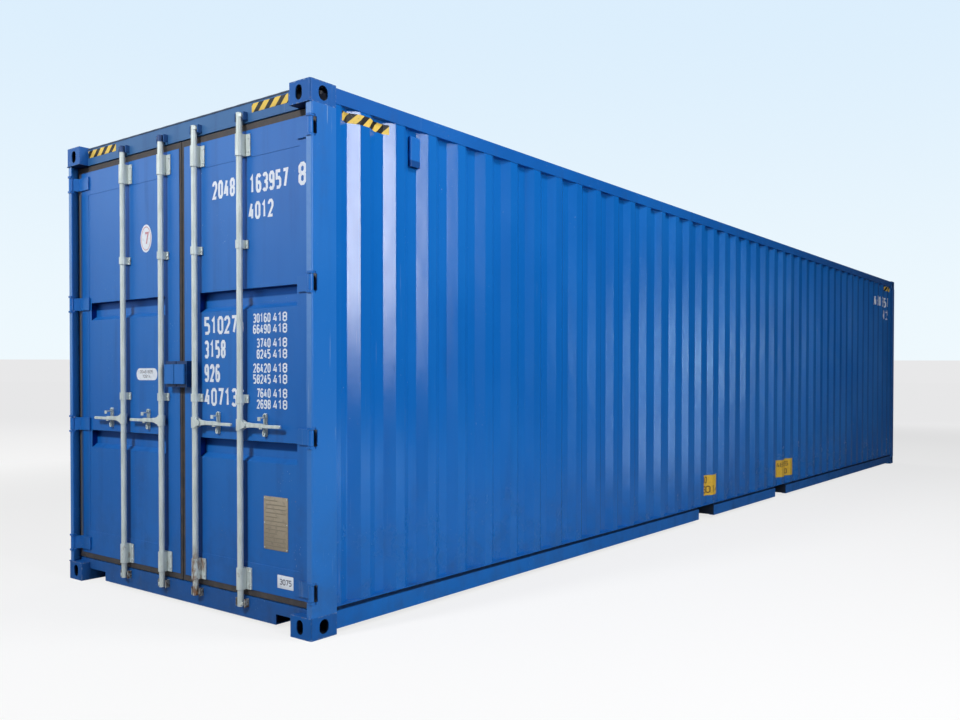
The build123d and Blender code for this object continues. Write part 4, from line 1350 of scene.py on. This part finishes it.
@dataclass
class FrameMarks:
    """Striped films, fork pocket labels and numbers on the header and the side walls."""

    finishes: dict[str, bpy.types.Material]
    film: float = 0.0004
    step: float = 0.012
    header_level: float = 2.848
    header_height: float = 0.048
    header_films: tuple[tuple[str, float, float], ...] = (
        ("right", 0.673, 0.978),
        ("left", -1.050, -0.712),
    )
    wall_films: tuple[tuple[Pair, Pair], ...] = (
        ((REAR + 0.237, REAR + 0.604), (2.734, 2.788)),
        ((-REAR - 0.500, -REAR - 0.237), (2.720, 2.790)),
    )
    labels: tuple[Pair, ...] = ((REAR + 4.891, REAR + 5.246), (REAR + 6.883, REAR + 7.386))
    label_levels: Pair = (0.228, 0.423)
    # Each row's label, and its place from that label's left end.
    label_rows: tuple[tuple[int, Row], ...] = (
        (0, Row("30", (0.03, 0.345), 0.066, 1.1)),
        (0, Row("3014", (0.05, 0.250), 0.070, 1.25)),
        (1, Row("481526", (0.07, 0.340), 0.056, 1.35)),
        (1, Row("30", (0.27, 0.248), 0.064, 1.25)),
    )
    wall_rows: tuple[Row, ...] = (
        Row("2048", (10.98, 2.462), 0.150, 0.64),
        Row("163957", (11.40, 2.462), 0.150, 0.64),
        Row("4012", (11.52, 2.272), 0.145, 0.66),
    )

    def make(self, name: str, shells: list[Surface], finish: str, smooth: bool = False) -> None:
        """Make one piece of the frame."""
        make_piece(name, shells, "frame", self.finishes[finish], smooth)

    def header_stripes(self) -> None:
        """Striped films at both ends of the rear header."""
        plane = door_plane(END_FRAME_DEPTH)
        for name, low, high in self.header_films:
            outline = rounded_outline(high - low, self.header_height, 0.003)
            film = tablet(plane, ((low + high) / 2, self.header_level), outline, self.film)
            self.make(f"header_stripes_{name}", [film], "stripes_end", True)

    def wall_film(self, side: int, span: Pair, levels: Pair) -> Surface:
        """A film that follows a side wall's folds.

        It is lofted along the wall through vertical sections: back and front, low and high.

        Args:
            side: 1 for the left wall, -1 for the right one.
            span: Where it starts and ends along the container.
            levels: Its lower and upper edge.

        Returns:
            The film.
        """
        corners, depths = WallFold().corners()
        inside = (corners > span[0]) & (corners < span[1])
        along = np.concatenate([span[:1], corners[inside], span[1:]])
        wall = side * (SIDE - np.interp(along, corners, depths))
        front = wall + side * self.film
        low, high = levels
        rings = [
            np.stack([along, face, np.full_like(along, level)], axis=-1)
            for face, level in ((wall, low), (front, low), (front, high), (wall, high))
        ]
        return loft(np.stack(rings, axis=1))

    def side_wall(self, side: int, name: str) -> None:
        """Stripes near both top corners, fork pocket labels, and numbers at one end.

        Args:
            side: 1 for the left wall, -1 for the right one.
            name: The side's name.
        """
        stripes = [self.wall_film(side, *place) for place in self.wall_films]
        self.make(f"{name}_wall_stripes", stripes, "stripes_side")
        labels = [self.wall_film(side, span, self.label_levels) for span in self.labels]
        self.make(f"{name}_wall_labels", labels, "yellow")
        sheet = FoldedSheet(side)
        write = Numerals().write
        starts = [LENGTH / 2 + (first if side < 0 else -last) for first, last in self.labels]
        shells = []
        for label, row in self.label_rows:
            corner = (starts[label] + row.corner[0], row.corner[1])
            moved = Row(row.text, corner, row.height, row.spacing)
            shells += write(moved, sheet, self.film, self.step)
        self.make(f"{name}_label_figures", shells, "brown")
        shells = [shell for row in self.wall_rows for shell in write(row, sheet, 0.0, self.step)]
        self.make(f"{name}_wall_numbers", shells, "white")

    def build(self) -> None:
        """Make all of the frame's markings."""
        self.header_stripes()
        self.side_wall(1, "left")
        self.side_wall(-1, "right")


@dataclass
class DoorGear:
    """Rivets on the brackets, rims on the handle retainers and weld beads round the panels."""

    finishes: dict[str, bpy.types.Material]
    rivet: tuple[Pair, ...] = (
        (0.0075, -0.0005),
        (0.0075, 0.001),
        (0.0062, 0.0032),
        (0.0030, 0.0046),
    )
    bracket_bases: Pair = (0.177, 2.592)
    # How far the rivets are from the bar to both sides, and over the bracket's foot.
    bracket_rivets: tuple[float, Pair] = (0.048, (0.022, 0.099))
    guide_levels: Pair = (1.243, 2.103)
    guide_reach: float = 0.0315
    retainer_reach: float = 0.185
    retainer_eye: float = 1.150
    panel_sides: Pair = (0.126, 1.065)
    panel_levels: Pair = (0.327, 2.585)

    def rivets(self, side: int, name: str) -> None:
        """Domed rivets on one door's brackets and guides.

        Args:
            side: 1 for the left door, -1 for the right one.
            name: The side's name.
        """
        reach, rises = self.bracket_rivets
        spots = []
        for bar in BARS:
            for base in self.bracket_bases:
                spots += [(bar + y, base + z) for y in (-reach, reach) for z in rises]
            for level in self.guide_levels:
                spots += [(bar + y, level) for y in (-self.guide_reach, self.guide_reach)]
        places = np.array([(0, side * y, z) for y, z in spots])
        domes = [turned(door_plane(END_FRAME_DEPTH), self.rivet, 12).copies(places)]
        zinc = self.finishes["zinc"]
        make_piece(f"{name}_bracket_rivets", domes, f"{name}_door", zinc)

    def retainer_rims(self, side: int, name: str) -> None:
        """A rolled rim round the eye of each handle retainer on one door.

        Args:
            side: 1 for the left door, -1 for the right one.
            name: The side's name.
        """
        plane = door_plane(END_FRAME_DEPTH)
        spots = [(-side * (bar + self.retainer_reach), self.retainer_eye) for bar in BARS]
        rims = [rim(plane, spot, 0.0120, 0.0040) for spot in spots]
        zinc = self.finishes["zinc"]
        make_piece(f"{name}_retainer_rims", rims, f"{name}_door", zinc)

    def panel_welds(self, side: int, name: str) -> None:
        """A weld bead round the edge of one door's pressed panel.

        Args:
            side: 1 for the left door, -1 for the right one.
            name: The side's name.
        """
        x = REAR + PANEL_DEPTH
        near, far = [side * reach for reach in self.panel_sides]
        low, high = self.panel_levels
        runs = [((x, near, level), (x, far, level)) for level in (low, high)]
        runs += [((x, reach, low), (x, reach, high)) for reach in (near, far)]
        beads = [bead(line(*run, 0.006), (-1, 0, 0), 0.0026) for run in runs]
        paint = self.finishes["door"]
        make_piece(f"{name}_panel_welds", beads, f"{name}_door", paint)

    def build(self) -> None:
        """Make both doors' fittings."""
        for side, name in ((1, "left"), (-1, "right")):
            self.rivets(side, name)
            self.retainer_rims(side, name)
            self.panel_welds(side, name)


@dataclass
class FrameWelds:
    """Weld beads on the castings and along the walls' head, and a dark bead along the header's top
    edge.
    """

    finishes: dict[str, bpy.types.Material]
    casting_bead: float = 0.0032
    wall_bead: float = 0.0035
    wall_head: float = 2.804
    sealant_bead: float = 0.006
    sealant_place: Pair = (0.061, 2.884)

    def castings(self) -> list[Surface]:
        """Beads between the castings and the posts.

        Returns:
            One bead for each casting.
        """
        beads = []
        for end in (-1, 1):
            for side in (-1, 1):
                for level in (CASTING[2], HEIGHT - CASTING[2]):
                    x, y = end * LENGTH / 2, side * (SIDE - self.casting_bead * 0.9)
                    path = line((x, y, level), (x - end * CASTING[0], y, level), 0.005)
                    beads.append(bead(path, (0, side, 0), self.casting_bead))
        return beads

    def wall_heads(self) -> list[Surface]:
        """Beads that follow the folds under the top rails.

        Returns:
            One bead for each long wall.
        """
        along, depth = WallFold().corners()
        beads = []
        for side in (-1, 1):
            wall = side * (SIDE - depth)
            path = np.stack([along, wall, np.full_like(along, self.wall_head)], axis=-1)
            beads.append(bead(path, (0, 0, -1), self.wall_bead, 0.0))
        return beads

    def build(self) -> None:
        """Make the frame's beads and the header's dark edge bead."""
        beads = self.castings() + self.wall_heads()
        make_piece("frame_welds", beads, "frame", self.finishes["frame"])
        reach = SIDE - CASTING[1]
        x, z = REAR + self.sealant_place[0], self.sealant_place[1]
        edge = line((x, -reach, z), (x, reach, z), 0.03)
        # A dark bead along the header's top front edge.
        sealant = [bead(edge, (-1, 0, 0), self.sealant_bead, 0.1)]
        make_piece("header_sealant", sealant, "frame", self.finishes["sealant"])


# --- Studio ---


@dataclass(frozen=True)
class Lamp:
    """A soft rectangular lamp, with its power in watts."""

    name: str
    place: Place
    target: Place
    size: Pair
    power: float

    def build(self) -> None:
        """Add the lamp, turned to its target."""
        data = bpy.data.lights.new(self.name, "AREA")
        data.shape = "RECTANGLE"
        data.size, data.size_y = self.size
        data.energy = self.power
        lamp = bpy.data.objects.new(self.name, data)
        lamp.location = self.place
        heading = Vector(self.target) - Vector(self.place)
        lamp.rotation_euler = heading.to_track_quat("-Z", "Y").to_euler()
        bpy.context.scene.collection.objects.link(lamp)


@dataclass
class Studio:
    """Pale floor, soft sky, lamps and the camera at the photograph's angle.

    The long wall mirrors a low strip of the sky and a patch of the floor: the glints.
    """

    camera_place: Place = (-9.169, -4.718, 1.363)
    camera_heading: Place = (0.7975, 0.6032, -0.015)
    roll: float = -0.063
    lens: float = 33.39
    sensor: float = 36.0
    shift: Pair = (-0.0141, 0.0322)
    view_end: float = 400.0
    floor_half: float = 250.0
    near_floor: Colour = tint(248, 248, 248)
    far_floor: Colour = tint(231, 231, 232)
    floor_shade: Colour = tint(150, 150, 152)
    shadow_shade: Colour = tint(236, 236, 236)
    horizon: Colour = tint(239, 249, 254)
    zenith: Colour = tint(219, 238, 253)
    ground: Colour = tint(232, 232, 233)
    daylight: Colour = (0.92, 0.96, 1.0, 1.0)
    sky_light: float = 0.17
    slope_sky: Colour = tint(118, 140, 162)
    side_sky: Colour = tint(40, 49, 64)
    end_sky: Colour = tint(10, 16, 28)
    glint: Colour = (3.0, 4.4, 5.0, 1.0)
    flash: Colour = (25.0, 37.0, 43.0, 1.0)
    floor_glint: Colour = (0.95, 1.25, 1.4, 1.0)
    lamps: tuple[Lamp, ...] = (
        Lamp("band_lamp", (-6.46, -6.8, 3.6), (-6.46, 0.0, 3.6), (1.0, 2.8), 205.0),
        Lamp("band_foot_lamp", (-6.46, -6.8, 1.85), (-6.46, 0.0, 1.85), (1.0, 0.7), 18.0),
        Lamp("wall_lamp", (-2.8, -6.5, 7.5), (-2.8, -1.2, 1.4), (3.0, 2.0), 405.0),
        Lamp("door_lamp", (-12.0, 0.2, 6.6), (-6.1, 0.0, 1.4), (1.0, 1.0), 480.0),
        Lamp("sheen_lamp", (-12.0, 8.5, 5.5), (-6.1, 0.0, 2.2), (6.0, 3.0), 95.0),
        Lamp("far_lamp", (9.0, 10.0, 7.0), (1.0, 0.0, 1.4), (5.0, 4.0), 420.0),
    )

    def ahead(self, east: Value, north: Value) -> Value:
        """How far a place or direction lies along the camera's level heading."""
        return east * self.camera_heading[0] + north * self.camera_heading[1]

    def camera(self) -> None:
        """Place the camera: it looks along its heading with a small roll."""
        data = bpy.data.cameras.new("photo_camera")
        data.lens = self.lens
        data.sensor_width = self.sensor
        data.shift_x, data.shift_y = self.shift
        data.clip_end = self.view_end
        ahead = Vector(self.camera_heading).normalized()
        right = ahead.cross(Vector((0, 0, 1))).normalized()
        upward = right.cross(ahead)
        turn = Matrix.Rotation(np.radians(self.roll), 3, ahead)
        grid = Matrix((turn @ right, turn @ upward, -ahead)).transposed().to_4x4()
        grid.translation = Vector(self.camera_place)
        camera = bpy.data.objects.new("photo_camera", data)
        camera.matrix_world = grid
        bpy.context.scene.collection.objects.link(camera)
        bpy.context.scene.camera = camera

    def floor_finish(self) -> bpy.types.Material:
        """Pale floor that keeps a soft shadow, greyer in the distance.

        Returns:
            The material.
        """
        recipe = Recipe.named("studio_floor")
        x, y, _ = recipe.axes()
        far = self.ahead(x, y).rise(-4.0, 21.0).high((x * x + y * y).rise(200.0, 1300.0))
        ray = recipe.node("ShaderNodeLightPath")
        seen = Value(recipe, ray.outputs["Is Camera Ray"])
        mirrored = Value(recipe, ray.outputs["Is Glossy Ray"])
        shade = recipe.mix(seen, self.floor_shade, self.shadow_shade)
        plain = recipe.node("ShaderNodeBsdfDiffuse", inputs={"Color": shade})
        shown = recipe.mix(far, self.near_floor, self.far_floor)
        # For glossy rays a patch of the floor glows brighter and bluish: painted light that the
        # long wall mirrors as its glints.
        shown = recipe.mix(mirrored, shown, self.floor_glint)
        inputs = {"Color": shown, "Strength": mirrored * 3.0 + 1.0}
        glow = recipe.node("ShaderNodeEmission", inputs=inputs)
        share = ((x * x / 64.0 + y * y / 16.0) * 0.25).rise(0.5, 1.6) * 0.2 + 0.8
        bright = (x + y * 0.21).near(-2.4, 2.8) * y.rise(-5.0, -7.5)
        share = (seen * share).high(mirrored * bright)
        inputs = {0: share, 1: plain.outputs[0], 2: glow.outputs[0]}
        mixed = recipe.node("ShaderNodeMixShader", inputs=inputs)
        recipe.node("ShaderNodeOutputMaterial", inputs={"Surface": mixed.outputs[0]})
        return recipe.owner

    def floor(self) -> None:
        """A large level floor."""
        half = self.floor_half
        corners = [(-half, -half, 0), (half, -half, 0), (half, half, 0), (-half, half, 0)]
        mesh = bpy.data.meshes.new("studio_floor")
        mesh.from_pydata(corners, [], [(0, 1, 2, 3)])
        mesh.materials.append(self.floor_finish())
        floor = bpy.data.objects.new("studio_floor", mesh)
        bpy.context.scene.collection.objects.link(floor)

    def sky(self) -> None:
        """Pale blue above, near white at the horizon, and an even light for the object."""
        world = bpy.data.worlds.new("studio_sky")
        bpy.context.scene.world = world
        recipe = Recipe(world, "Generated")
        east, north, height = recipe.axes()
        sky = recipe.mix(height.rise(-0.02, 0.42), self.horizon, self.zenith)
        ground = (height / self.ahead(east, north).high(0.3)).rise(0.01975, 0.01965)
        shown = recipe.mix(ground, sky, self.ground)
        beside = recipe.mix(height.rise(0.02, 0.20) * 0.75, self.slope_sky, self.end_sky)
        beside = recipe.mix(east.rise(0.22, 0.38), beside, self.side_sky)
        beside = recipe.mix(east.rise(0.60, 0.88), beside, self.end_sky)
        glint = east.near(0.185, 0.10) * height.near(0.0, 0.15)
        flash = east.near(0.218, 0.040) * height.near(0.0, 0.08)
        beside = recipe.mix(flash, recipe.mix(glint, beside, self.glint), self.flash)
        mirrored = recipe.mix(north.rise(0.05, -0.20), sky, beside)
        backdrop, reflected, light = [
            recipe.node("ShaderNodeBackground", inputs={"Color": colour, "Strength": strength})
            for colour, strength in ((shown, 1.0), (mirrored, 1.0), (self.daylight, self.sky_light))
        ]
        ray = recipe.node("ShaderNodeLightPath")
        seen = Value(recipe, ray.outputs["Is Camera Ray"])
        seen = seen.high(Value(recipe, ray.outputs["Is Transmission Ray"]))
        inputs = {0: ray.outputs["Is Glossy Ray"], 1: light.outputs[0], 2: reflected.outputs[0]}
        lit = recipe.node("ShaderNodeMixShader", inputs=inputs)
        inputs = {0: seen, 1: lit.outputs[0], 2: backdrop.outputs[0]}
        mixed = recipe.node("ShaderNodeMixShader", inputs=inputs)
        recipe.node("ShaderNodeOutputWorld", inputs={"Surface": mixed.outputs[0]})

    def build(self) -> None:
        """Make the whole studio."""
        self.camera()
        self.floor()
        self.sky()
        for lamp in self.lamps:
            lamp.build()


# --- The container ---

# The finish of each carried-over node, by the first of these that its name holds.
NODE_FINISHES = (
    ("castings", "casting"),
    ("gasket", "rubber"),
    ("cam_keepers", "keeper"),
    ("hinge", "lug"),
    ("rear_header", "header"),
    ("rear_sill", "sill"),
    ("bottom_side_rails", "low_rail"),
    ("top_side_rails", "top_rail"),
    ("vents", "vent"),
    ("rear_posts", "rear_post"),
    ("_bar", "zinc"),
    ("_handle", "zinc"),
    ("_catch", "zinc"),
    ("door_brackets", "zinc"),
    ("posts", "post"),
    ("door_panel", "panel"),
    ("_door_", "door"),
    ("lock_box", "box"),
    ("front_wall", "end_sheet"),
    ("_wall", "sheet"),
    ("roof", "roof_sheet"),
    ("cross_members", "underseal"),
    ("fork_pockets", "underseal"),
    ("tunnel", "underseal"),
    ("floor", "plywood"),
    ("", "frame"),
)


def dress_frame(
    nodes: dict[str, bpy.types.Object], finishes: dict[str, bpy.types.Material]
) -> None:
    """Give each carried-over node its finish.

    Args:
        nodes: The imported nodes.
        finishes: Materials by name.
    """
    for name, node in nodes.items():
        chosen = next(finish for key, finish in NODE_FINISHES if key in name)
        node.data.materials.clear()
        node.data.materials.append(finishes[chosen])
        LOG.info("%s: %s", name, chosen)


def make_finishes() -> dict[str, bpy.types.Material]:
    """Make every finish.

    Returns:
        All the materials by name.
    """
    blue, pale, deep = coat = tint(12, 97, 178), tint(22, 108, 190), tint(8, 86, 164)
    door = tint(14, 97, 178), tint(30, 109, 188), tint(9, 83, 160)
    # Copies of the one blue: the rear posts' and lugs' are lighter, the header's, sill's, castings'
    # and top rails' darker, as painted light and shade for how each part is lit; the header's is
    # also greyer with dust.
    rear_post = tint(22, 104, 184), tint(34, 114, 194), tint(14, 92, 170)
    header = tint(34, 90, 146), tint(56, 104, 152), tint(28, 78, 130)
    sill = tint(14, 84, 156), tint(24, 92, 160), tint(12, 68, 128)
    lug = tint(18, 98, 178), tint(46, 118, 192), deep
    casting = tint(14, 84, 158), pale, deep
    top_rail = tint(8, 86, 164), blue, deep
    underseal = tint(16, 34, 58), tint(24, 44, 70), tint(10, 18, 30)
    dull = {"roughness": 0.40, "sheen": 0.25}
    made = {
        "sheet": Paint("wall_paint", *coat, Wear.SHEET, 0.18, 1),
        "end_sheet": Paint("end_wall_paint", *coat, Wear.SHEET, 0.30, 0),
        "roof_sheet": Paint("roof_paint", *coat, Wear.SHEET, 0.36, 2),
        "post": Paint("post_paint", *coat, Wear.POST),
        "rear_post": Paint("rear_post_paint", *rear_post, Wear.POST, light_and_dirt=PaintedLightAndDirt.EDGE),
        "frame": Paint("rail_paint", *coat, Wear.EVEN, **dull),
        "low_rail": Paint("low_rail_paint", *coat, Wear.EVEN, light_and_dirt=PaintedLightAndDirt.RECESS, **dull),
        "header": Paint("header_paint", *header, Wear.POST, 0.45),
        "sill": Paint("sill_paint", *sill, Wear.POST, 0.45),
        "lug": Paint("lug_paint", *lug, Wear.POST, 0.36),
        "keeper": Paint("keeper_paint", *coat, Wear.EVEN, 0.5, light_and_dirt=PaintedLightAndDirt.KEEPER),
        "door": Paint("door_paint", *door, Wear.DOOR, 0.36),
        "panel": Paint("panel_paint", *door, Wear.DOOR, 0.36, light_and_dirt=PaintedLightAndDirt.PANEL),
        "box": Paint("box_paint", *door, Wear.DOOR, 0.36, light_and_dirt=PaintedLightAndDirt.BOX),
        "casting": Paint(
            "casting_paint", *casting, Wear.CASTING, 0.42, sheen=0.22, light_and_dirt=PaintedLightAndDirt.HOLLOW
        ),
        "vent": Paint("vent_paint", *coat, Wear.EVEN, light_and_dirt=PaintedLightAndDirt.SLOT, **dull),
        "top_rail": Paint("top_rail_paint", *top_rail, Wear.EVEN, **dull),
        "underseal": Paint("underseal", *underseal, Wear.EVEN, 0.6),
        "zinc": Zinc("dull_zinc"),
        "rubber": Rubber("seal_rubber"),
        "plywood": Plywood("floor_plywood"),
        "stripes_end": Stripes("end_stripes", 0.093, 1, 1.0),
        "stripes_side": Stripes("side_stripes", 0.088, 0, -1.0),
        "white": Film("white_film", tint(226, 232, 240), tint(150, 170, 200), 0.35),
        "black": Film("black_print", tint(84, 88, 104), tint(140, 146, 156), 0.4),
        "grey": Film("grey_print", tint(120, 124, 134), tint(190, 192, 198), 0.4),
        "red": Film("red_print", tint(190, 130, 140), tint(226, 214, 218), 0.5),
        # The header's dark edge bead.
        "sealant": Film("edge_sealant", tint(52, 66, 88), tint(84, 100, 124), 0.5, 0.7),
        "yellow": Film("yellow_film", tint(226, 184, 58), tint(150, 118, 48), 0.45),
        "brown": Film("label_print", tint(104, 72, 40), tint(150, 112, 54), 0.4),
        "plate": Film("plate_metal", tint(156, 144, 124), tint(120, 110, 96), 0.6, metallic=0.2),
        "plate_rows": Film("plate_print", tint(134, 124, 106), tint(150, 140, 120), 0.5),
    }
    return {name: finish.dress() for name, finish in made.items()}


def main() -> None:
    """Build the container's looks in order."""
    logging.basicConfig(level=logging.INFO, format="%(name)s %(message)s")
    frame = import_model()
    bpy.context.scene.view_settings.view_transform = "Standard"
    finishes = make_finishes()
    dress_frame(frame["nodes"], finishes)
    for group in (RightDoorMarks, LeftDoorMarks, FrameMarks, DoorGear, FrameWelds):
        group(finishes).build()
    Studio().build()


if __name__ == "__main__":
    main()
